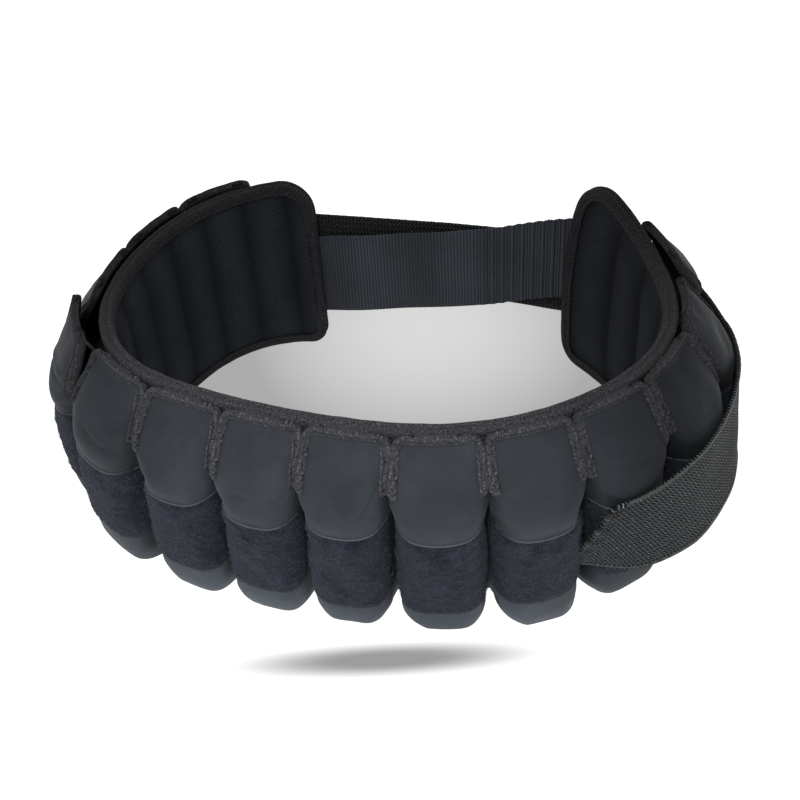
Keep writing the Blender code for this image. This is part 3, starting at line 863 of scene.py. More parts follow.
# ----------------------------------------------------------------------------
# Pocket shapes
# ----------------------------------------------------------------------------
HINGE_Z = 0.0982
HINGE_OUT = 0.0415
BEND_START, BEND_END = 0.0950, 0.1045    # heights between which a flap bends
EMPTY = (4, 14)
FLAP_TOP = 0.1572
FLAP_THICK = 0.0020
POUCH_COLS, POUCH_ROWS = 73, 46
FLAP_COLS, FLAP_ROWS = 45, 40
FLAP_COL_POWER, FLAP_ROW_POWER = 1.45, 1.35    # crowd the grid toward its rims
FLAP_SPREAD = 0.0268            # half width the seam is worked out with

# z, half width, depth, squareness
POUCH_LEVELS = np.array([
    (0.0000, 0.0217, 0.0354, 5.6),
    (0.0015, 0.0226, 0.0370, 5.6),
    (0.0060, 0.0234, 0.0388, 5.2),
    (0.0150, 0.0239, 0.0403, 4.8),
    (0.0300, 0.0240, 0.0412, 4.6),
    (0.0600, 0.0241, 0.0417, 4.6),
    (0.0920, 0.0243, 0.0418, 4.5),
    (0.1080, 0.0249, 0.0402, 4.3),
])
# z, depth
FLAP_PROFILE = np.array([
    (0.0900, 0.0420), (0.1000, 0.0418), (0.1080, 0.0404), (0.1160, 0.0368),
    (0.1240, 0.0318), (0.1330, 0.0246), (0.1420, 0.0165), (0.1500, 0.0096),
    (FLAP_TOP, 0.0046),
])
# z, half width
FLAP_WIDTHS = ((0.0900, 0.0243), (0.0980, 0.0247), (0.1060, 0.0254),
               (0.1140, 0.0262), (0.1230, 0.0268), (0.1400, 0.0271),
               (FLAP_TOP, 0.0266))
# z, how far the flap's sides fall back from its middle
FLAP_DROP = ((0.090, 0.0240), (0.104, 0.0215), (0.112, 0.0155), (0.125, 0.0088),
             (0.140, 0.0042), (FLAP_TOP, -0.0004))

flap_z = np.linspace(FLAP_PROFILE[0, 0], FLAP_TOP, 300)
flap_run = run_of(np.column_stack([flap_z, follow(flap_z, FLAP_PROFILE)]))


def below_top(z):
    """Length down the flap from its top edge to height z."""
    return flap_run[-1] - np.interp(z, flap_z, flap_run)


def height_below_top(length):
    return np.interp(flap_run[-1] - length, flap_run, flap_z)


# superellipse angle spaced evenly along the pouch contour
contour_angle = np.linspace(0, math.pi, 2001)
contour_cos, contour_sin = np.cos(contour_angle), np.sin(contour_angle)
contour_run = run_of(np.column_stack([
    np.sign(contour_cos) * np.abs(contour_cos) ** 0.53 * 0.0265,
    np.abs(contour_sin) ** 0.53 * 0.041]))
contour_run /= contour_run[-1]

# what a pocket has unless POCKET_CHANGES says otherwise; pairs are left, right
POCKET_DEFAULTS = dict(
    corner=0.0080,              # radius of the flap's upper corners
    drop=(1.0, 1.0),            # how much of FLAP_DROP each side takes
    binding=(0.1190, 0.1195),   # heights at which the flap's tape ends
    rise=0.0010,                # how far the bottom stands off the floor
    droop=0.0,                  # added to the flap's lower edge
    bulge=0.0,                  # pushed outward
    raised=0.0,                 # whole pocket up
    open_angle=0.0,             # degrees the flap stands open
    curl=0.0)                   # how far the flap's top curls away
TUCKED = (0.55, 1.55)           # standing proud on the left
RIGHT_DROP = (1.3, 0.6)
# cut is how far each bottom corner is cut back, otherwise drawn at random
POCKET_CHANGES = {
    4: dict(bulge=0.0015, open_angle=7.0, curl=0.0030),
    5: dict(drop=TUCKED),
    6: dict(drop=TUCKED, rise=0.0020),
    7: dict(drop=TUCKED, rise=0.0045),
    8: dict(drop=TUCKED, rise=0.0075, droop=0.0040, cut=(0.0075, 0.0050),
            binding=(0.1215, 0.1225)),
    9: dict(drop=(0.7, 0.9), rise=0.0075, droop=0.0040, cut=(0.0125, 0.0045),
            binding=(0.1240, 0.1250), corner=0.0095),
    10: dict(drop=(0.9, 0.6), rise=0.0, droop=-0.0020, cut=(0.0125, 0.0005),
             binding=(0.1240, 0.1225)),
    11: dict(drop=RIGHT_DROP, rise=0.0040),
    12: dict(drop=RIGHT_DROP, rise=0.0030),
    13: dict(drop=RIGHT_DROP),
    # nothing in it: the pouch lies slack against the belt
    14: dict(bulge=-0.0190, raised=0.0040),
}


class Pocket:
    """Shapes in pocket coordinates: side from its middle, out and z."""

    def __init__(self, number):
        self.number = number
        self.along = (number - 1 - LEFT_POCKETS + 0.5) * PITCH
        self.heading = float(heading_at(self.along))
        self.outward = np.array([math.sin(self.heading), -math.cos(self.heading), 0.0])
        self.bend = float((heading_at(self.along + PITCH / 2)
                           - heading_at(self.along - PITCH / 2)) / PITCH)
        random = np.random.RandomState(100 + number)
        self.seed = float(random.uniform(0, 50))
        self.cut = (float(random.uniform(0.006, 0.010)), float(random.uniform(0.001, 0.004)))
        random.uniform(-0.0008, 0.0012)    # drawn only to keep the sequence
        smile = float(random.uniform(-0.0010, 0.0010))
        self.twist = float(random.uniform(-0.0012, 0.0012))
        vars(self).update(POCKET_DEFAULTS | POCKET_CHANGES.get(number, {}))
        self.smile = smile + self.droop
        self.lift = float(lift_at(self.along)) + self.raised

    def point(self, side, out, z):
        # the fronts spread apart round a corner of the belt
        along = self.along + side * (1 - 0.12 * self.bend * np.maximum(out, 0))
        return belt_point(along, out, z + self.lift)

    def seam_z(self, side):
        """Height of the flap's lower edge across the pocket."""
        share = np.clip(np.abs(side + self.twist) / 0.0262, 0, 1.15)
        return 0.0945 + self.smile + 0.0032 * share ** 2.3 + self.twist * 0.8 * side / 0.026

    def pouch(self, share, z):
        """Pouch wall; share runs from -1 (left back edge) to 1 (right)."""
        half, depth, power = (follow(z, POUCH_LEVELS, column) for column in (1, 2, 3))
        depth = depth + self.bulge * np.clip(z / 0.03, 0, 1) * smooth01(z, -0.01, 0.03)
        depth = depth + 0.0008 * np.exp(-((z - 0.055) / 0.045) ** 2)
        angle = np.interp(1 - (share + 1) / 2, contour_run, contour_angle)
        cos, sin = np.cos(angle), np.abs(np.sin(angle))
        across = np.sign(cos) * np.abs(cos) ** (2.0 / power)
        front = sin ** (2.0 / power)
        # side walls lean in from the band to the front, and the bottom
        # corners are folded back to a slanted facet
        low = np.clip(1 - z / 0.021, 0, 1) ** 1.15
        cut = np.where(across < 0, *self.cut)
        half = half + (0.0262 - half) * (1 - front)
        half = half - cut * low * (0.25 + 0.75 * front)
        side = across * half
        out = 0.0021 + (depth - 0.0021) * front
        out = out - 0.25 * cut * low * smooth01(np.abs(across), 0.55, 1.0) * front
        z = z + self.rise * np.clip(1 - z / 0.040, 0, 1)
        # padded crown across the front
        crown = (1 - np.clip(side / 0.026, -1, 1) ** 2) * sin
        return side, out + 0.0012 * crown * smooth01(z, 0, 0.02), z

    def flap_half(self, z):
        """Half width of the flap, with its rounded upper corners."""
        return (follow(z, FLAP_WIDTHS)
                - edge_drop(np.maximum(below_top(z), 0), self.corner))

    def flap(self, share, z):
        """Flap; share runs from -1 (left edge) to 1 (right edge)."""
        # the seam end of a flap always closes down onto the pouch
        own = smooth01(z, 0.106, 0.124)
        drop = follow(z, FLAP_DROP) * (1 + (np.where(share < 0, *self.drop) - 1) * own)
        away = np.abs(share)
        out = follow(z, FLAP_PROFILE) - drop * (0.25 * away ** 2.2 + 0.75 * away ** 6)
        out = np.maximum(out, 0.0036)
        out = out + (0.0016 * (1 - away ** 2) * smooth01(z, 0.092, 0.12)
                     * smooth01(-z, -FLAP_TOP, -0.135))
        out = out + self.bulge * smooth01(-z, -0.135, -0.100)
        return self.flap_half(z) * share, out, z

    def slack(self, side, out, z):
        """Hand-made slackness of the cloth, in metres outward."""
        coarse = xyz(side * 28 + self.seed, z * 28, self.seed * 1.7)
        fine = xyz(side * 70 + self.seed * 3, z * 26 + out * 12, self.seed)
        return 0.0013 * layered_noise(coarse, 3) + 0.0007 * noise(fine)

    def on_flap(self, side, z):
        """Finished flap's point and normal at a side distance and height."""
        share = np.clip(side / np.maximum(self.flap_half(z), 1e-4), -1, 1)
        col = np.sign(share) * (1 - (1 - np.abs(share)) ** (1 / FLAP_COL_POWER))
        low = self.seam_z(FLAP_SPREAD * share)
        row = 1 - (1 - np.clip((z - low) / (FLAP_TOP - low), 0, 1)) ** (1 / FLAP_ROW_POWER)
        return self.flap_surface.at(row * (FLAP_ROWS - 1), (col + 1) / 2 * (FLAP_COLS - 1))


def pouch_sheet(pocket):
    share = np.linspace(-1, 1, POUCH_COLS)
    # each column ends at the seam line; on the sides at the mouth
    mouth = 0.1045
    side = pocket.pouch(share, np.full(POUCH_COLS, 0.100))[0]
    top = np.minimum(np.where(np.abs(share) < 0.62, pocket.seam_z(side), mouth), mouth)
    z = np.linspace(0, 1, POUCH_ROWS)[:, None] ** 1.25 * top
    flat = pocket.pouch(np.broadcast_to(share, z.shape), z)
    pins = np.zeros(z.shape)
    pins[:2] = pins[-1] = 1.0
    pins[:, :2] = pins[:, -2:] = 1.0
    # less slack at the bottom, where the corners pull
    slack = pocket.slack(*flat) * (0.35 + 0.65 * smooth01(flat[2], 0.0, 0.02))
    return SimpleNamespace(flat=flat, points=pocket.point(*flat), pins=pins, slack=slack,
                           fade=dict(sides=9, bottom=6, top=5))


def flap_sheet(pocket):
    share = np.linspace(-1, 1, FLAP_COLS)
    share = np.sign(share) * (1 - (1 - np.abs(share)) ** FLAP_COL_POWER)
    height = 1 - (1 - np.linspace(0, 1, FLAP_ROWS)) ** FLAP_ROW_POWER
    low = pocket.seam_z(FLAP_SPREAD * share)
    z = low + (FLAP_TOP - low) * height[:, None]
    flat = pocket.flap(np.broadcast_to(share, z.shape), z)
    pins = np.zeros(z.shape)
    pins[0] = pins[-2:] = 1.0
    pins[:, 0] = pins[:, -1] = 0.9
    return SimpleNamespace(flat=flat, points=pocket.point(*flat), pins=pins,
                           slack=pocket.slack(*flat), fade=dict(sides=7, bottom=5, top=8))


# ----------------------------------------------------------------------------
# Cloth run: the slack in every pouch front and flap, all in one simulation
# ----------------------------------------------------------------------------
CLOTH_FRAMES = 20
CLOTH_SETTINGS = dict(
    quality=5, mass=0.15, tension_stiffness=20, compression_stiffness=14,
    shear_stiffness=8, bending_stiffness=0.25, air_damping=2.0,
    vertex_group_mass="pin", pin_stiffness=1.0, use_pressure=True,
    uniform_pressure_force=1.0, shrink_min=-0.035)
CLOTH_REACH = 0.0019            # most the run may move a point
CLOTH_INWARD = 0.0012           # most it may sink one


def cloth_run(sheets):
    """How far each point moved, on every second row and column."""
    mesh = MeshParts()
    spans, pins = [], []
    for sheet in sheets:
        points = sheet.points[::2, ::2]
        spans.append((mesh.count, points.shape))
        mesh.grid(points, np.zeros(points.shape))
        pins.append(sheet.pins[::2, ::2].ravel())
    rest = np.concatenate(mesh.verts)
    cloth = mesh.build("cloth_run", [])
    group = cloth.vertex_groups.new(name="pin")
    pins = np.round(np.concatenate(pins) * 10) / 10
    for level in np.unique(pins):
        if level > 0:
            group.add([int(i) for i in np.nonzero(pins == level)[0]], float(level), 'REPLACE')
    modifier = cloth.modifiers.new("cloth", "CLOTH")
    for setting, value in CLOTH_SETTINGS.items():
        setattr(modifier.settings, setting, value)
    modifier.settings.effector_weights.gravity = 0.0
    modifier.collision_settings.use_collision = False
    modifier.collision_settings.use_self_collision = False
    modifier.point_cache.frame_start = 1
    modifier.point_cache.frame_end = CLOTH_FRAMES
    scene = bpy.context.scene
    scene.frame_start, scene.frame_end = 1, CLOTH_FRAMES
    for frame in range(1, CLOTH_FRAMES + 1):
        scene.frame_set(frame)
    settled = cloth.evaluated_get(bpy.context.evaluated_depsgraph_get())
    places = np.zeros(len(rest) * 3, np.float32)
    settled.data.vertices.foreach_get("co", places)
    moved = places.reshape(-1, 3).astype(float) - rest
    data = cloth.data
    bpy.data.objects.remove(cloth, do_unlink=True)
    bpy.data.meshes.remove(data)
    scene.frame_set(1)
    return [moved[start:start + shape[0] * shape[1]].reshape(shape) for start, shape in spans]


def settled_points(sheet, moved):
    """The sheet with its slack and, if there was a cloth run, what that moved."""
    rows, cols = sheet.slack.shape
    normals = grid_normals(sheet.points)
    row = np.arange(rows)[:, None] * 1.0
    mask = (rim_fade(cols, 0, sheet.fade["sides"]) * smooth01(row, 0, sheet.fade["bottom"])
            * smooth01(rows - 1 - row, 0, sheet.fade["top"]))
    shift = normals * (sheet.slack * mask)[..., None]
    if moved is not None:
        pull = bilinear(blur(moved), np.linspace(0, moved.shape[0] - 1, rows)[:, None],
                        np.linspace(0, moved.shape[1] - 1, cols)[None, :])
        length = np.linalg.norm(pull, axis=-1, keepdims=True)
        pull = pull * (CLOTH_REACH * np.tanh(length / CLOTH_REACH) / np.maximum(length, 1e-9))
        outward = (pull * normals).sum(-1, keepdims=True)
        pull = pull - normals * np.minimum(0, outward + CLOTH_INWARD)
        shift = shift + pull * mask[..., None]
    return sheet.points + shift


# ----------------------------------------------------------------------------
# Flaps: creases the cloth run can't know about, then the ones that stand open
# ----------------------------------------------------------------------------
# pocket: (side, z, length, angle, depth, width) of each crease
CREASES = {
    4: [(0.0, 0.121, 0.024, 0.15, 0.0018, 0.0018)],
    6: [(-0.012 + 0.010 * i, 0.136, 0.007, 1.5, 0.0009, 0.0010) for i in range(3)],
    7: [(0.004, 0.1175, 0.026, 0.03, 0.0010, 0.0011)],
    8: [(0.0165, 0.123, 0.013, 1.05, 0.0013, 0.0012)],
}
for number in (2, 3, 5, 11, 12, 13):
    random = np.random.RandomState(500 + number)
    CREASES[number] = [(random.uniform(-0.01, 0.01), random.uniform(0.112, 0.128), 0.017,
                        random.uniform(-0.5, 0.5), 0.0009, 0.0012)]


def crease_height(side, z, crease):
    """A soft dent along a short line, with a low lip beside it."""
    middle_side, middle_z, length, angle, depth, width = crease
    cos, sin = math.cos(angle), math.sin(angle)
    from_side, from_z = side - middle_side, z - middle_z
    along = from_side * cos + from_z * sin
    across = -from_side * sin + from_z * cos
    ends = smooth01(-np.abs(along), -length, -length * 0.4)
    dent = np.exp(-(across / width) ** 2)
    lip = np.exp(-((across - 1.8 * width) / (1.2 * width)) ** 2)
    return depth * ends * (0.5 * lip - dent)


def swing(pocket, points):
    """Turn points with the flap to its rest angle."""
    hinge = belt_point(pocket.along, HINGE_OUT, HINGE_Z + pocket.lift)
    offset = points - hinge
    out, z = offset @ pocket.outward, offset[..., 2]
    angle = math.radians(pocket.open_angle) * smooth01(points[..., 2] - pocket.lift,
                                                       BEND_START, BEND_END)
    cos, sin = np.cos(angle), np.sin(angle)
    turned_out, turned_z = out * cos + z * sin, -out * sin + z * cos
    return (points + (turned_out - out)[..., None] * pocket.outward
            + (turned_z - z)[..., None] * np.array([0, 0, 1.0]))


def finished_flap(pocket, sheet, points):
    side, _, z = sheet.flat
    normals = grid_normals(points)
    for crease in CREASES.get(pocket.number, []):
        points = points + normals * crease_height(side, z, crease)[..., None]
    # the flap lies on the outside of the pouch front
    points = points + grid_normals(points) * 0.0016
    curl = pocket.curl * smooth01(z, 0.125, FLAP_TOP) * (1 - 0.5 * (side / 0.027))
    return Surface(swing(pocket, points + pocket.outward * curl[..., None]))


def settle_pockets(pockets):
    """Give every pocket its finished pouch and flap surfaces."""
    sheets = []
    for pocket in pockets:
        sheets += [pouch_sheet(pocket), flap_sheet(pocket)]
    moved = cloth_run(sheets)
    settled = [settled_points(*pair) for pair in zip(sheets, moved)]
    for i, pocket in enumerate(pockets):
        pouch = settled[2 * i]
        pouch[..., 2] = np.maximum(pouch[..., 2], 0.0013)
        pocket.pouch_surface = Surface(pouch)
        pocket.pouch_z = sheets[2 * i].flat[2]
        pocket.flap_surface = finished_flap(pocket, sheets[2 * i + 1], settled[2 * i + 1])


# ----------------------------------------------------------------------------
# Pocket pieces
# ----------------------------------------------------------------------------
def build_pouch(pocket):
    surface = pocket.pouch_surface
    mesh = MeshParts()
    mesh.shell(surface.points, cloth_of_grid(surface.points), 0.0018, inner_mat=1)
    # floor: rings drawn in to the middle
    rim = surface.points[0]
    centre = (rim[0] + rim[-1]) / 2 * 0.45 + rim.mean(0) * 0.55
    rings = []
    for size, drop in ((0.12, 0.0), (0.4, 0.0), (0.7, 0.0), (0.90, 0.0001)):
        ring = centre + (rim - centre) * size
        ring[:, 2] = rim[:, 2] - drop
        rings.append(ring)
    floor = np.stack(rings + [rim])
    floor[..., 2] = np.maximum(floor[..., 2], 0.0002)
    cloth = cloth_of_grid(floor)
    outer_base = mesh.count
    mesh.grid(floor, cloth, wrap_cols=True)
    inner_base = mesh.count
    mesh.grid(floor + np.array([0, 0, 0.0016]), cloth, 1, wrap_cols=True, flip=True)
    mesh.face(range(inner_base, inner_base + len(rim)), 1)
    mesh.face(range(outer_base + len(rim) - 1, outer_base - 1, -1), 0)
    mesh.piece("pouch_%02d_body" % pocket.number, [POCKET_FABRIC, INSIDE_FABRIC],
               "pouch_fabric", "pouch_%02d" % pocket.number, ride="belt")


def build_patch(pocket):
    """Loop pile across the upper pouch front, with stray loops of yarn."""
    rows, cols = 58, 66
    reach = 0.70                # share of the pouch contour it covers
    strays = 380
    surface = pocket.pouch_surface
    share = np.linspace(-reach, reach, cols)
    col = (share + 1) / 2 * (surface.cols - 1)
    low_z = (0.0340 + 0.0012 * noise(xyz(share * 9 + pocket.seed, 0.0, 0.0))
             + 0.0016 * (np.abs(share) / reach) ** 3)
    row = np.zeros((rows, cols))
    for i in range(cols):
        column_z = pocket.pouch_z[:, int(round(col[i]))]
        row_low = np.interp(low_z[i], column_z, np.arange(surface.rows))
        row[:, i] = np.linspace(row_low, surface.rows - 1.15, rows)
    base, normals = surface.at(row, np.broadcast_to(col, row.shape))
    normals = unit(blur(normals, 2))
    rim = rim_fade(rows, -0.5, 4)[:, None] * rim_fade(cols, -0.5, 5)
    random = np.random.RandomState(700 + pocket.number)
    fuzz = (0.00080 * layered_noise(base * 230.0 + pocket.seed, 2)
            + 0.00045 * noise(base * 620.0 + pocket.seed)
            + 0.00010 * random.normal(size=rim.shape))
    height = 0.0003 + 0.0009 * rim + fuzz * (0.3 + 0.7 * rim)
    top = base + normals * height[..., None]
    mesh = MeshParts()
    mesh.shell(top, cloth_of_grid(base), np.maximum(height + 0.0003, 0.0004), normals=normals)

    stray_row = random.uniform(1.0, rows - 2, strays)
    stray_col = random.uniform(1.5, cols - 2.5, strays)
    foot, up = Surface(top).at(stray_row, stray_col)
    angle = random.uniform(0, 2 * math.pi, strays)[:, None]
    level = unit(np.cross(up, np.array([0.0, 0.0, 1.0])))
    forward = level * np.cos(angle) + np.cross(up, level) * np.sin(angle)
    across = np.cross(up, forward)
    length = random.uniform(0.0016, 0.0040, strays)
    stand = random.uniform(0.00035, 0.0011, strays)
    curl = random.uniform(-0.6, 0.6, strays)
    run = np.linspace(0, 1, 6)[:, None]
    arch = np.sin(run * math.pi)
    for i in range(strays):
        path = (foot[i] + forward[i] * (run - 0.5) * length[i]
                + up[i] * (arch * stand[i] - 0.0001)
                + across[i] * (curl[i] * length[i] * (arch - 0.5)))
        mesh.tube(path, 0.00014, mat=1, sides=3, caps=False)
    mesh.piece("pouch_%02d_loop_patch" % pocket.number, [LOOP_PILE, LOOP_FIBRE],
               "loop_pile", "loop_patch_%02d" % pocket.number, ride="belt")


def build_flap(pocket):
    surface = pocket.flap_surface
    name = "flap_%02d" % pocket.number
    mesh = MeshParts()
    mesh.shell(surface.points, cloth_of_grid(surface.points), FLAP_THICK, inner_mat=1)
    # the folded lower edge, a thin roll where the flap is sewn down
    count = 60
    path, normals = surface.at(np.full(count, 0.25),
                               np.linspace(1.5, surface.cols - 2.5, count))
    taper = np.sin(np.linspace(0.10, math.pi - 0.10, count)) ** 0.35
    wobble = 0.00008 * np.sin(np.arange(count) * 1.9 + pocket.seed)
    # the roll's paler material is a painted highlight along the seam
    mesh.tube(path + normals * 0.00015, 0.00078 * taper + wobble, mat=2, sides=7)
    flap = mesh.piece(name + "_panel", [POCKET_FABRIC, INSIDE_FABRIC, FOLD_HIGHLIGHT],
                      "pouch_fabric", name)
    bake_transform(flap)


# section of the tape folded over a flap's edge, in mm:
# distance in from the edge, height over the outer face
TAPE_PROFILE = (
    (6.6, 0.1), (6.65, 0.9), (6.3, 1.4), (5.7, 1.4), (5.25, 1.0), (4.8, 0.6),
    (4.3, 0.95), (3.7, 1.5), (2.7, 1.85), (1.5, 1.85), (0.5, 1.45), (-0.3, 0.6),
    (-0.8, -0.5), (-0.7, -1.8), (-0.1, -2.9), (1.0, -3.3), (2.7, -3.35), (4.6, -3.3),
    (5.6, -3.1), (5.9, -2.4))
TAPE_OUTER_POINTS = 12          # profile points on the outer side
TAPE_INSET_SCALE, TAPE_HEIGHT_SCALE = 0.86, 1.35    # of its positive values
TAPE_STEP = 0.0013
TAPE_CORNER_STEPS = 12
TAPE_GROOVE = 0.0041            # the stitched groove's distance in from the edge


class TapeLine:
    """Lines on a pocket's flap that follow its edge at an inset."""

    def __init__(self, pocket):
        self.pocket = pocket
        self.corner = pocket.corner
        # lengths down the flap at which the tape's left and right legs end
        self.left, self.right = (float(below_top(z)) for z in pocket.binding)
        self.left_count = int((self.left - self.corner) / TAPE_STEP)
        self.right_count = int((self.right - self.corner) / TAPE_STEP)
        top_half = float(self.half(0.0))
        self.top_count = int(2 * (top_half - self.corner) / TAPE_STEP)
        self.edge, self.edge_normals = self.line(0.0)
        self.inward = unit(self.line(0.0022)[0] - self.edge)
        self.run = run_of(self.edge)

    def half(self, length):
        return follow(height_below_top(length), FLAP_WIDTHS)

    def line(self, inset):
        """Points and normals, up the left side, over the top, down the right."""
        radius = max(self.corner - inset, 0.0006)
        half = self.half(self.corner) - inset
        up = np.linspace(self.left, self.corner, self.left_count, endpoint=False)
        down = np.linspace(self.corner, self.right, self.right_count)
        turn = np.linspace(0, math.pi / 2, TAPE_CORNER_STEPS, endpoint=False)
        turn_back = np.linspace(math.pi / 2, 0, TAPE_CORNER_STEPS, endpoint=False)
        top = np.linspace(radius - half, half - radius, self.top_count, endpoint=False)
        side = np.concatenate([inset - self.half(up),
                               radius * (1 - np.cos(turn)) - half, top,
                               half - radius * (1 - np.cos(turn_back)),
                               self.half(down) - inset])
        length = np.concatenate([up, inset + radius * (1 - np.sin(turn)),
                                 np.full(self.top_count, inset),
                                 inset + radius * (1 - np.sin(turn_back)), down])
        points, normals = self.pocket.on_flap(side, height_below_top(length))
        for _ in range(3):
            normals[1:-1] = (normals[:-2] + 2 * normals[1:-1] + normals[2:]) / 4
        for _ in range(2):
            points[1:-1] = (points[:-2] + 2 * points[1:-1] + points[2:]) / 4
        return points, unit(normals)

    def raised(self, inset, height, at):
        points, normals = self.line(max(inset, 0.0))
        points = points + self.inward * min(inset, 0.0)
        return resample(at, self.run, points + normals * height)


def build_tape(pocket):
    line = TapeLine(pocket)
    run, total, count = line.run, line.run[-1], len(line.run)
    profile = [(inset * TAPE_INSET_SCALE if inset > 0 else inset,
                height * TAPE_HEIGHT_SCALE if height > 0 else height)
               for inset, height in TAPE_PROFILE]
    index = np.arange(count) * 1.0
    full = smooth01(index, -0.5, 2) * smooth01(count - 1 - index, -0.5, 2)
    skews = np.random.RandomState(40 + pocket.number).uniform(-0.0008, 0.0022, 2)
    columns = []
    for inset, height in profile:
        inset, height = inset * 1e-3, height * 1e-3
        # cut ends, a little off square and worn round
        share = min(max(inset, 0) / 0.0057, 1.0)
        worn = 0.0026 * (1 - math.sqrt(max(0.0, 1 - (2 * share - 1) ** 2)))
        left, right = (max(skew * share, 0) + max(-skew * (1 - share), 0) + worn
                       for skew in skews)
        at = left + (total - left - right) * (run / total)
        low = line.raised(inset, -0.0010, at)
        high = line.raised(inset, height, at)
        columns.append(low + (high - low) * (0.55 + 0.45 * full)[:, None])
    points = np.stack(columns, 1)
    # uneven hand: the tape swells and dips a little along its length
    swell = 0.00030 * layered_noise(xyz(run * 150 + pocket.seed, 0.0, 0.0), 2)
    sway = 0.00035 * layered_noise(xyz(run * 150 + pocket.seed, 7.0, 0.0), 2)
    points = points + (line.edge_normals * swell[:, None] + line.inward * sway[:, None])[:, None]
    sides = len(profile)
    under = np.where(np.arange(sides) < TAPE_OUTER_POINTS, 0.0, 0.02)
    mesh = MeshParts()
    mesh.grid(points, xyz(run[:, None], np.array(profile)[:, 0] * 1e-3 + under, 0.0),
              wrap_cols=True)
    mesh.face(range(sides - 1, -1, -1))
    mesh.face(range((count - 1) * sides, count * sides))
    # stitches sunk in the groove near the tape's inner edge
    groove, normals = line.line(TAPE_GROOVE)
    heights = np.array([0.00035, 0.00085, 0.00085, 0.00035])[:, None]
    random = np.random.RandomState(900 + pocket.number)
    start = 0.0045
    while start < total - 0.0045:
        at = start + np.array([0, 0.0006, 0.0014, 0.0020])
        path = resample(at, run, groove) + resample(at, run, normals) * heights
        mesh.tube(path, 0.00026, mat=1, sides=5, start=(start, 0.0))
        start += 0.0029 + float(random.uniform(-0.0002, 0.0002))
    name = "flap_%02d" % pocket.number
    mesh.piece(name + "_binding", [BINDING, THREAD], "binding_tape", ride=name)


# ----------------------------------------------------------------------------
# Weights
# ----------------------------------------------------------------------------
WEIGHT_HALF_WIDTH, WEIGHT_HALF_DEPTH = 0.0190, 0.0120
WEIGHT_RADIUS = 0.0042
WEIGHT_CLEAR = 0.0032           # from the band's face to the block


def build_weight(pocket):
    number = pocket.number
    name = "weight_%02d" % number
    lo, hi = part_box(name)
    centre = belt_point(pocket.along, WEIGHT_CLEAR + WEIGHT_HALF_DEPTH, (lo.z + hi.z) / 2)
    half = np.array([WEIGHT_HALF_WIDTH, WEIGHT_HALF_DEPTH, (hi.z - lo.z) / 2])
    bm = bmesh.new()
    bmesh.ops.create_cube(bm, size=2.0)
    bmesh.ops.subdivide_edges(bm, edges=list(bm.edges), cuts=17, use_grid_fill=True)
    cube = np.array([vert.co for vert in bm.verts])
    faces = [[vert.index for vert in face.verts][::-1] for face in bm.faces]
    bm.free()
    # crowd the rows toward the edges, then round them
    block = np.sign(cube) * (1 - (1 - np.abs(cube)) ** 1.7) * half
    core = np.clip(block, WEIGHT_RADIUS - half, half - WEIGHT_RADIUS)
    away = block - core
    length = np.linalg.norm(away, axis=1, keepdims=True)
    block = np.where(length > 1e-9, core + away / np.maximum(length, 1e-9)
                     * np.minimum(length, WEIGHT_RADIUS), block)
    normals = unit(np.where(length > 1e-9, away, block))
    # mould parting line round the edge, and an uneven dipped skin
    parting = np.exp(-(block[:, 1] / 0.0007) ** 2) * (length[:, 0] > 1e-6)
    skin = 0.00028 * parting + 0.00022 * layered_noise(block * 90 + number * 7.1, 3)
    block = block + normals * skin[:, None]
    block[:, 2] = np.clip(block[:, 2], -half[2], half[2])
    forward = np.array([math.cos(pocket.heading), math.sin(pocket.heading), 0])
    mesh = MeshParts()
    mesh.add(centre + block @ np.array([forward, pocket.outward, (0, 0, 1.0)]), block, faces)
    mesh.piece(name + "_block", [VINYL], "weight_block", name, ride=name)


# ----------------------------------------------------------------------------
# Band cover, lining and the edge binding
# ----------------------------------------------------------------------------
COVER_INSET = 0.0046            # cover and lining stop this far inside the edge
COVER_STEP = 0.0028
STITCH_PITCH = 0.0032
STITCH_RUN = np.array([0, 0.0007, 0.0016, 0.0023])


def band_grid(rows):
    """along and z over the band's face, inside the binding, and the z of its
    lower and upper edge."""
    turn = np.linspace(0, math.pi / 2, 14)
    left = LEFT_END + TOP_RADIUS * (1 - np.cos(turn))
    right = RIGHT_END - TOP_RADIUS * (1 - np.cos(turn[::-1]))
    middle = np.linspace(left[-1], right[0], int((right[0] - left[-1]) / COVER_STEP))
    along = np.concatenate([left, middle[1:-1], right])
    from_end = np.minimum(along - LEFT_END, RIGHT_END - along)
    low = BAND_BOTTOM + lift_at(along) + edge_drop(from_end, BOTTOM_RADIUS) + COVER_INSET
    high = BAND_TOP + lift_at(along) - edge_drop(from_end, TOP_RADIUS) - COVER_INSET
    shrink = 1 - 2 * COVER_INSET / (RIGHT_END - LEFT_END)
    along = LEFT_END + COVER_INSET + (along - LEFT_END) * shrink
    z = low + (high - low) * np.linspace(0, 1, rows)[:, None]
    return np.broadcast_to(along, z.shape), z, low, high


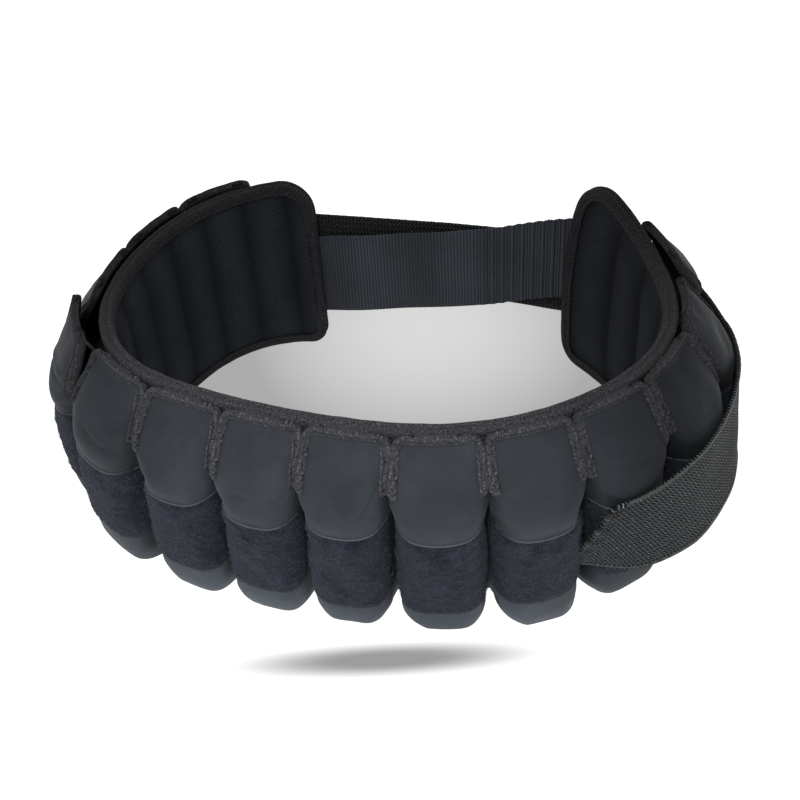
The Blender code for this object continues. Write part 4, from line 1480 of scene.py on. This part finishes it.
def build_cover():
    along, z, _, _ = band_grid(rows=34)
    from_seam = np.abs(along / PITCH - np.round(along / PITCH)) * PITCH
    pocketed = (along > FIRST_EDGE - 0.003) & (along < LAST_EDGE + 0.003)
    out = (-0.0012 * np.exp(-(from_seam / 0.0016) ** 2) * pocketed
           + 0.0006 * layered_noise(xyz(along * 30, z * 30, 0.0), 3) - 0.0006)
    mesh = MeshParts()
    mesh.shell(band_point(along, out, z), xyz(along, z, 0.0), 0.0042)
    # seam stitching on the bare ends of the band, beyond the outermost pockets
    heights = np.array([-0.0004, 0.0005, 0.0005, -0.0004])
    for edge, direction in ((FIRST_EDGE, -1), (LAST_EDGE, 1)):
        for row in (0.0035, 0.0065):
            for start in marks(0.016, 0.140, STITCH_PITCH):
                path = band_point(edge + direction * row, heights,
                                  start + STITCH_RUN + float(lift_at(edge)))
                mesh.tube(path, 0.00028, mat=1, sides=5, start=(start, 0.0))
    mesh.piece("belt_cover", [BAND_FABRIC, THREAD], "band_fabric", "belt_band", ride="belt")


def build_lining():
    """Quilted into upright channels, on the band's inner side."""
    along, z, low, high = band_grid(rows=40)
    channel = np.abs(np.sin(math.pi * (along - CHANNEL_START) / CHANNEL)) ** 0.55
    inside = smooth01(z - low, 0.004, 0.030) * smooth01(high - z, 0.004, 0.030)
    lobe = 0.0052 * channel * inside * (0.75 + 0.25 * np.sin(along * 47.0))
    ripple = 0.0011 * layered_noise(xyz(along * 34, z * 20, 3.0), 3)
    points = band_point(along, -(0.0066 + lobe + ripple * inside), z)
    mesh = MeshParts()
    mesh.shell(points[:, ::-1], xyz(along, z, 0.0)[:, ::-1], 0.0026)
    mesh.piece("lining_quilted", [LINING], "lining_mesh", "inner_lining", ride="belt")


# section of the binding round the band's edge, in mm:
# out from the band's face, distance beyond its edge
EDGE_PROFILE = (
    (0.6, -8.0), (1.5, -7.9), (2.0, -7.2), (1.9, -6.4), (1.3, -5.7), (1.6, -5.0),
    (2.2, -4.0), (2.4, -2.2), (2.2, -0.4), (1.4, 0.9), (0.0, 1.8), (-1.8, 2.2),
    (-3.5, 1.9), (-4.7, 1.1), (-5.6, 0.5), (-6.5, 1.1), (-7.8, 2.0), (-9.8, 2.3),
    (-11.7, 1.7), (-13.0, 0.5), (-13.9, -1.2), (-14.3, -3.0), (-14.0, -4.6),
    (-13.5, -5.5), (-14.0, -6.2), (-14.3, -6.9), (-14.0, -7.7), (-12.9, -8.0),
    (-12.6, -6.0), (-12.3, -1.0), (-6.0, -0.9), (0.3, -1.0), (0.5, -6.0))
EDGE_STEP = 0.0026
EDGE_STITCH_RUN = np.array([0, 0.0007, 0.0017, 0.0024])
EDGE_STITCH_PITCH = 0.0034
# distance beyond the edge, out, and which way (beyond, out) the ends sink:
# the outside, the inside and the groove along the top
EDGE_STITCH_ROWS = ((-0.0050, 0.0014, (0, -1)), (-0.0048, -0.0083, (0, 1)),
                    (0.0008, -0.0034, (-1, 0)))


def band_outline():
    """The band's edge as a closed line of (along, z), bottom first."""
    def corner(along, z, radius, first_angle, count):
        angle = np.linspace(first_angle, first_angle + math.pi / 2, count)[1:-1]
        return np.column_stack([along + radius * np.cos(angle), z + radius * np.sin(angle)])

    count = int((RIGHT_END - LEFT_END) / EDGE_STEP)
    bottom, top = BAND_BOTTOM + BOTTOM_RADIUS, BAND_TOP - TOP_RADIUS
    low_left, low_right = LEFT_END + BOTTOM_RADIUS, RIGHT_END - BOTTOM_RADIUS
    top_left, top_right = LEFT_END + TOP_RADIUS, RIGHT_END - TOP_RADIUS
    return np.concatenate([
        np.linspace((low_left, BAND_BOTTOM), (low_right, BAND_BOTTOM), count),
        corner(low_right, bottom, BOTTOM_RADIUS, -math.pi / 2, 9),
        np.linspace((RIGHT_END, bottom), (RIGHT_END, top), 36),
        corner(top_right, top, TOP_RADIUS, 0.0, 15),
        np.linspace((top_right, BAND_TOP), (top_left, BAND_TOP), count),
        corner(top_left, top, TOP_RADIUS, math.pi / 2, 15),
        np.linspace((LEFT_END, top), (LEFT_END, bottom), 36),
        corner(low_left, bottom, BOTTOM_RADIUS, math.pi, 9)])


def build_edge_binding():
    path = band_outline()
    forward = unit(np.roll(path, -1, 0) - np.roll(path, 1, 0))
    outward = np.stack([forward[:, 1], -forward[:, 0]], -1)
    run = run_of(path)
    out, beyond = np.array(EDGE_PROFILE).T * 1e-3
    out = np.where(out < 0, out * 0.60, out * 0.85)
    beyond = np.where(beyond < -2.2e-3, -2.2e-3 + (beyond + 2.2e-3) * 0.80, beyond * 0.9)
    profile_run = run_of(np.column_stack([out, beyond]))
    # uneven hand, across the edge and off the face
    wobble, out_wobble = (0.0005 * layered_noise(xyz(run * 60, 0.0, seed), 3)[:, None]
                          for seed in (5.0, 25.0))
    beyond = beyond + wobble * (beyond > -3e-3)
    points = band_point(path[:, :1] + outward[:, :1] * beyond, out + out_wobble * 0.8,
                        path[:, 1:] + lift_at(path[:, :1]) + outward[:, 1:] * beyond)
    mesh = MeshParts()
    mesh.grid(points, xyz(run[:, None], profile_run, 0.0), wrap_cols=True, wrap_rows=True)
    sunk = 0.0007 * np.array([1, 0, 0, 1])
    for row_beyond, row_out, sink in EDGE_STITCH_ROWS:
        for start in marks(0.001, run[-1] - 0.003, EDGE_STITCH_PITCH):
            at = start + EDGE_STITCH_RUN
            along, z = resample(at, run, path).T
            out_along, out_z = resample(at, run, outward).T
            beyond = row_beyond + sink[0] * sunk
            stitch = band_point(along + out_along * beyond, row_out + sink[1] * sunk,
                                z + lift_at(along) + out_z * beyond)
            mesh.tube(stitch, 0.00027, mat=1, sides=4, start=(start, 0.0))
    mesh.piece("edge_binding_tape", [BINDING, THREAD], "binding_tape", "edge_binding",
               ride="belt")


# ----------------------------------------------------------------------------
# Elastic and webbing strap across the back
# ----------------------------------------------------------------------------
def beyond_right_end(beyond, out):
    heading = float(heading_at(RIGHT_END))
    return plan_point(RIGHT_END, out) + beyond * np.array([math.cos(heading),
                                                           math.sin(heading)])


def smooth_path(points, step, times):
    """Even steps along a polyline, corners worn round, ends kept."""
    points = np.array(points)
    run = run_of(points)
    path = resample(np.linspace(0, run[-1], int(run[-1] / step)), run, points)
    for _ in range(times):
        path[1:-1] = (path[:-2] + 2 * path[1:-1] + path[2:]) / 4
    return path


def plan_normals(path):
    forward = unit(np.gradient(path, axis=0))
    return np.stack([-forward[:, 1], forward[:, 0]], -1)


ELASTIC_OUT, ELASTIC_WIDTH, ELASTIC_THICK = 0.0034, 0.075, 0.0015


def build_elastic():
    points = [*plan_point(LEFT_END + np.array([0.036, 0.024, 0.012, 0.001]), ELASTIC_OUT)]
    leave = points[-1]
    arrive = beyond_right_end(0.0062, -0.0005)
    points += [leave + (arrive - leave) * i / 6.0 for i in range(1, 6)]
    points += [arrive, beyond_right_end(0.0036, 0.0034), beyond_right_end(-0.0030, 0.0036)]
    points += [*plan_point(RIGHT_END - np.array([0.014, 0.026, 0.038]), ELASTIC_OUT)]
    path = smooth_path(points, 0.00062, 6)
    normals = plan_normals(path)
    run = run_of(path)
    share = run / run[-1]
    centre = 0.0620 + (0.102 - 0.0620) * smooth01(share, -0.15, 1.15)
    centre = centre + (0.0062 * smooth01(share, 0.58, 0.78)
                       * (1 - 0.6 * smooth01(share, 0.86, 0.98)))
    row = np.linspace(-0.5, 0.5, 19)[:, None]
    z = centre + row * ELASTIC_WIDTH * (1 - 0.03 * np.sin(math.pi * share))
    # ribs, and looser pleats where the elastic is gathered at its right end
    wobble = 0.0006 * layered_noise(xyz(run * 60, 0.0, 0.0), 2)
    rib = 0.00035 * np.abs(np.sin(math.pi * (run + wobble) / 0.0027)) ** 0.8
    gathered = smooth01(share, 0.52, 0.66) * (1 - smooth01(share, 0.86, 0.93))
    pleat = 0.0007 * gathered * np.sin(2 * math.pi * run / 0.0078) ** 3
    free = (1 - smooth01(-share, -0.16, -0.06)) * (1 - smooth01(share, 0.86, 0.94))
    sag = 0.0024 * layered_noise(xyz(run * 16 + row * 2, row * 1.6, 9.0), 2)
    # its right end follows the wing's foot
    tuck = 0.0080 * smooth01(share, 0.74, 0.93) * np.clip(1 - z / BAND_TOP, 0, 1)
    off = rib + pleat + sag * free - tuck
    points = np.concatenate([path + normals * off[..., None], z[..., None]], -1)
    mesh = MeshParts()
    mesh.shell(points[:, ::-1], xyz(run, z, 0.0)[:, ::-1], ELASTIC_THICK)
    # upright rows of stitching at both sewn ends
    heights = np.array([0.0001, 0.0009, 0.0009, 0.0001])[:, None]
    for end, direction in ((0.004, 1), (run[-1] - 0.004, -1)):
        for inset in (0.0, 0.005, 0.022):
            i = int(np.argmin(np.abs(run - (end + inset * direction))))
            plan = path[i] + normals[i] * (heights + off[9, i])
            for start in marks(-0.032, 0.031, STITCH_PITCH):
                mesh.tube(np.column_stack([plan, centre[i] + start + STITCH_RUN]), 0.00028,
                          mat=1, sides=5, start=(start, 0.0))
    mesh.piece("elastic_back", [ELASTIC, THREAD], "elastic_web", "elastic_band", ride="belt")


STRAP_WIDTH, STRAP_THICK = 0.066, 0.0024
STRAP_BACK_OUT, STRAP_SIDE_OUT = 0.0059, 0.0455
STRAP_STEP = 0.0016
TAIL_START, TAIL_END = 5.0 * PITCH, 1.80 * PITCH
TAIL_LEAN = 0.0130
# the tip is slanted: how far the upper edge stops short of the lower
TIP_SLANT = 0.02548
# share of the way to the tail, height of the strap's middle
STRAP_MIDDLE = ((0.0, 0.0870), (0.42, 0.0840), (0.62, 0.0770), (0.85, 0.0715), (1.0, 0.0710))
# share of the tail, how much its upper edge is raised
TAIL_UPPER = ((0.0, 0.0030), (0.3, 0.0080), (0.6, 0.0070), (0.85, 0.0010), (1.0, -0.0040))


class Strap:
    """The strap's middle surface: left wing, across the back, round the right
    wing, loose end."""

    def __init__(self):
        points = [*plan_point(LEFT_END + np.array([0.034, 0.020, 0.004]), STRAP_BACK_OUT),
                  beyond_right_end(0.0125, 0.0015), beyond_right_end(0.0085, 0.0105),
                  *plan_point(PITCH * np.array([5.90, 5.76, 5.62, 5.48, 5.34, 5.17]),
                              STRAP_SIDE_OUT),
                  plan_point(TAIL_START, STRAP_SIDE_OUT)]
        first = smooth_path(points, STRAP_STEP, 9)
        along = np.arange(TAIL_START - STRAP_STEP, TAIL_END, -STRAP_STEP)
        dip = np.maximum(0.0, (2.75 * PITCH - along) / (0.75 * PITCH))
        tail = plan_point(along, STRAP_SIDE_OUT + 0.0010 - 0.0050 * dip * dip)
        path = np.concatenate([first, tail])
        join = len(first)
        for _ in range(6):
            path[join - 12:join + 12] = (path[join - 13:join + 11]
                                         + 2 * path[join - 12:join + 12]
                                         + path[join - 11:join + 13]) / 4
        normals = plan_normals(path)
        for _ in range(8):
            normals[1:-1] = (normals[:-2] + 2 * normals[1:-1] + normals[2:]) / 4
        self.path, self.normals = path, unit(normals)
        self.run = run_of(path)
        self.tail_at, self.length = self.run[join - 1], self.run[-1]
        tail_share = self.tail_share(self.run)
        middle = follow(np.clip(self.run / self.tail_at, 0, 1), STRAP_MIDDLE)
        self.low = middle - STRAP_WIDTH / 2 + 0.0095 * smooth01(tail_share, 0.55, 1.0)
        self.high = middle + STRAP_WIDTH / 2 + follow(tail_share, TAIL_UPPER)

    def tail_share(self, at):
        return np.clip((at - self.tail_at) / (self.length - self.tail_at), 0, 1)

    def row_end(self, height):
        """Length at which the row at a height share ends."""
        return self.length - TIP_SLANT * height ** 1.1

    def point(self, at, height, lift):
        """Point at a length and a height share, lifted off the surface."""
        normal_x, normal_y = (np.interp(at, self.run, axis) for axis in self.normals.T)
        size = np.hypot(normal_x, normal_y)
        low, high = (np.interp(at, self.run, edge) for edge in (self.low, self.high))
        tail = self.tail_share(at)
        lean = (TAIL_LEAN * np.minimum(1.0, 1.6 * tail) * (1 - 0.8 * smooth01(tail, 0.55, 1.0))
                * (1 - height) ** 1.2)
        # the loose end is springy: a slow wave and a lower corner that turns in
        wave = smooth01(tail, 0.05, 0.5) * 0.0022 * np.sin(7.0 * tail + 2.2 * height + 0.6)
        curl = -0.0135 * smooth01(tail, 0.80, 1.0) * (1 - height) ** 1.3
        slack = (0.0011 * layered_noise(xyz(at * 22, height * 1.3, 4.0), 2)
                 * smooth01(at, 0.03, 0.08))
        # middle of the back stretch bows out a little
        bow = 0.0016 * np.sin(math.pi * np.clip(at / (self.tail_at * 0.72), 0, 1)) ** 2
        off = lean + wave + curl + slack + bow + lift
        return xyz(np.interp(at, self.run, self.path[:, 0]) + normal_x / size * off,
                   np.interp(at, self.run, self.path[:, 1]) + normal_y / size * off,
                   low + (high - low) * height)


def build_strap():
    strap = Strap()
    height = np.linspace(0, 1, 47)[:, None]
    at = strap.row_end(height) * np.linspace(0, 1, 430)
    height = np.broadcast_to(height, at.shape)
    to_tip = strap.row_end(height) - at
    # columns of the weave stand up from the cloth, the folded hem is ridged
    columns = 0.00030 * np.cos(2 * math.pi * (height * STRAP_WIDTH) / WEB_COLUMN)
    hem = smooth01(-to_tip, -0.0088, -0.0076)
    ridges = hem * (0.0013 + 0.00045 * np.cos(2 * math.pi * to_tip / 0.0027))
    edges = 0.0004 * (smooth01(height, 0.965, 0.985) + smooth01(-height, -0.035, -0.015))
    points = strap.point(at, height, columns * (1 - hem) + ridges + edges + STRAP_THICK / 2)
    mesh = MeshParts()
    mesh.shell(points[:, ::-1], xyz(at, height * STRAP_WIDTH, 0.0)[:, ::-1],
               (STRAP_THICK + ridges * 0.9)[:, ::-1])
    # corded selvedges
    count = 420
    for share in (0.004, 0.996):
        cord_at = np.linspace(0.001, strap.row_end(share) - 0.001, count)
        mesh.tube(strap.point(cord_at, np.full(count, share), STRAP_THICK * 0.35),
                  0.00105 + 0.00008 * np.sin(np.arange(count) * 1.3), mat=1,
                  start=(0.0, share))

    def stitch_row(length_at, first, top, sunk):
        """Stitches up the strap; length_at gives the length for height shares."""
        lift = STRAP_THICK / 2 + np.array([sunk, top, top, sunk])
        for start in marks(first, 0.95, 0.046):
            share = start + np.array([0, 0.010, 0.022, 0.032])
            mesh.tube(strap.point(length_at(share), share, lift), 0.00030, mat=2, sides=5,
                      start=(start, 0.0))

    for back in (0.0030, 0.0072):        # on the hem
        stitch_row(lambda share: strap.row_end(share) - back, 0.04, top=0.0014, sunk=0.0006)
    for inset in (0.004, 0.009, 0.026):    # at the sewn left end
        stitch_row(lambda share: np.full(4, inset), 0.05, top=0.0006, sunk=-0.0001)
    piece = mesh.piece("webbing_strap", [WEBBING, WEBBING_EDGE, THREAD], "webbing",
                       "closure_strap", "strap_tail")
    start, end = (tuple(np.append(plan_point(TAIL_START + shift, STRAP_SIDE_OUT), 0.06))
                  for shift in (0.004, -0.016))
    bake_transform(piece)
    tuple(start)
    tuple(end)


# ----------------------------------------------------------------------------
# Build every piece
# ----------------------------------------------------------------------------
pockets = [Pocket(i + 1) for i in range(POCKETS)]
settle_pockets(pockets)
for pocket in pockets:
    build_pouch(pocket)
    build_patch(pocket)
    build_flap(pocket)
    build_tape(pocket)
for pocket in pockets:
    if pocket.number not in EMPTY:
        build_weight(pocket)
build_cover()
build_lining()
build_edge_binding()
build_elastic()
build_strap()

# ----------------------------------------------------------------------------
# Floor, light and camera
# ----------------------------------------------------------------------------
scene = bpy.context.scene
CENTRE_X = (line_x.min() + line_x.max()) / 2 + belt_origin[0]
CENTRE_Y = (line_y.min() + line_y.max()) / 2 + belt_origin[1]
GLOW = 1.22                     # light given off by the floor and seen as sky
FLOOR_HALF = 12.0
FLOOR_DROP = 0.0006
# ellipses on the floor: centre and half axes, the centre from the belt's
RING = dict(x=0.0, y=0.045, half_x=0.212, half_y=0.202)
# painted shade on the floor: a grey ellipse inside the ring, then a painted shadow pool in front
RING_SHADE = dict(x=0.0269318, y=0.1489637, half_x=0.1289154, half_y=0.1281920)
SHADOW_POOL = dict(x=-0.0104296, y=-0.1941283, half_x=0.0819698, half_y=0.0111167)
TONE_MIDDLE, TONE_FALL, TONE_LIMIT = 0.695, 0.215, 1.35    # brightness inside the ring
POOL_BRIGHTNESS = 0.33


def floor_paint():
    """A white sweep that glows like a light table, with painted shade: soft grey
    inside the ring and a blurred painted shadow pool in front of it."""
    g = Shader("floor_paint")
    floor_x, floor_y, _ = g.split(g.place)

    def step(value, start, end):
        t = g.math("DIVIDE", g.math("SUBTRACT", value, start), end - start, clamp=True)
        return g.mul(g.mul(t, t), g.linear(t, slope=-2.0, offset=3.0))

    def distance(x, y, half_x, half_y, power=2.0):
        """1 on the ellipse round the belt's centre plus (x, y)."""
        parts = []
        for value, centre, half in ((floor_x, CENTRE_X + x, half_x),
                                    (floor_y, CENTRE_Y + y, half_y)):
            share = g.math("DIVIDE", g.math("SUBTRACT", value, centre), half)
            parts.append(g.math("POWER", g.math("ABSOLUTE", share), power))
        return g.math("POWER", g.sum(*parts), 1.0 / power)

    # painted shade: grey inside the ring, then a painted shadow pool in front
    inner = g.mul(step(distance(**RING, power=2.05), 1.08, 0.93),
                  step(floor_y, CENTRE_Y - 0.085, CENTRE_Y - 0.035))
    from_tone = distance(**RING_SHADE)
    from_tone = g.math("MINIMUM", g.mul(from_tone, from_tone), TONE_LIMIT)
    tone = g.linear(from_tone, slope=-TONE_FALL / GLOW, offset=TONE_MIDDLE / GLOW)
    pool = step(distance(**SHADOW_POOL), 1.65, 0.35)
    glow = g.sum((tone, inner), g.math("SUBTRACT", 1.0, inner))
    shaded = g.mul(pool, 1 - POOL_BRIGHTNESS / GLOW)
    glow = g.mul(glow, g.math("SUBTRACT", 1.0, shaded))
    g.link(g.shade((1.0, 1.0, 1.0), glow), g.bsdf.inputs["Emission Color"])
    g.bsdf.inputs["Emission Strength"].default_value = GLOW
    return g.finish(srgb(30, 30, 30), 0.9, specular=0.0)


def build_floor():
    paint = floor_paint()
    data = bpy.data.meshes.new("floor")
    data.from_pydata([(x * FLOOR_HALF, y * FLOOR_HALF, 0)
                      for x, y in ((-1, -1), (1, -1), (1, 1), (-1, 1))], [], [(0, 1, 2, 3)])
    data.materials.append(paint)
    floor = bpy.data.objects.new("floor", data)
    scene.collection.objects.link(floor)
    floor.location.z = -FLOOR_DROP


def build_world():
    """Low white light; the camera itself sees the same white as the floor."""
    world = bpy.data.worlds.new("studio")
    scene.world = world
    world.use_nodes = True
    nodes, links = world.node_tree.nodes, world.node_tree.links
    lit = nodes["Background"]
    seen = nodes.new("ShaderNodeBackground")
    for background, strength in ((lit, 0.34), (seen, GLOW)):
        background.inputs[0].default_value = (1.0, 1.0, 1.0, 1.0)
        background.inputs[1].default_value = strength
    path = nodes.new("ShaderNodeLightPath")
    mix = nodes.new("ShaderNodeMixShader")
    links.new(path.outputs["Is Camera Ray"], mix.inputs[0])
    links.new(lit.outputs[0], mix.inputs[1])
    links.new(seen.outputs[0], mix.inputs[2])
    links.new(mix.outputs[0], nodes["World Output"].inputs["Surface"])


def add_light(name, kind, energy, location, target, **settings):
    data = bpy.data.lights.new(name, kind)
    data.energy = energy
    for setting, value in settings.items():
        setattr(data, setting, value)
    light = bpy.data.objects.new(name, data)
    scene.collection.objects.link(light)
    light.location = location
    light.rotation_mode = "QUATERNION"
    aim = Vector(target) - Vector(location)
    light.rotation_quaternion = aim.to_track_quat("-Z", "Y")


def add_camera():
    data = bpy.data.cameras.new("camera")
    camera = bpy.data.objects.new("camera", data)
    scene.collection.objects.link(camera)
    scene.camera = camera
    data.sensor_fit = 'HORIZONTAL'
    data.sensor_width = 36.0
    data.lens = 58.788
    data.clip_start, data.clip_end = 0.01, 60.0
    forward = Vector((-0.02098, 0.73118, -0.68186)).normalized()
    right = Vector((0.99848, -0.0194, -0.05152)).normalized()
    up = right.cross(forward).normalized()
    right = forward.cross(up)
    place = Vector((0.02576 + CENTRE_X, -0.71066 + CENTRE_Y, 0.7156))
    turn = Matrix((right, up, -forward)).transposed()
    camera.matrix_world = Matrix.Translation(place) @ turn.to_4x4()


build_floor()
build_world()
# a soft spot on the front pockets over a low general light
add_light("front_spot", "SPOT", energy=26.0, location=(-0.12, -0.85, 1.15),
          target=(-0.01, -0.12, 0.08), spot_size=math.radians(34), spot_blend=1.0,
          shadow_soft_size=0.16)
add_light("key", "AREA", energy=3.6, location=(-0.25, -0.7, 1.4), target=(0, -0.05, 0.05),
          shape='DISK', size=0.9)
add_light("back", "AREA", energy=2.0, location=(0.1, 1.4, 1.2), target=(0, 0, 0.08),
          shape='DISK', size=1.2)
add_camera()

scene.view_settings.view_transform = 'Standard'
scene.view_settings.look = 'None'
scene.view_settings.exposure = 0.0
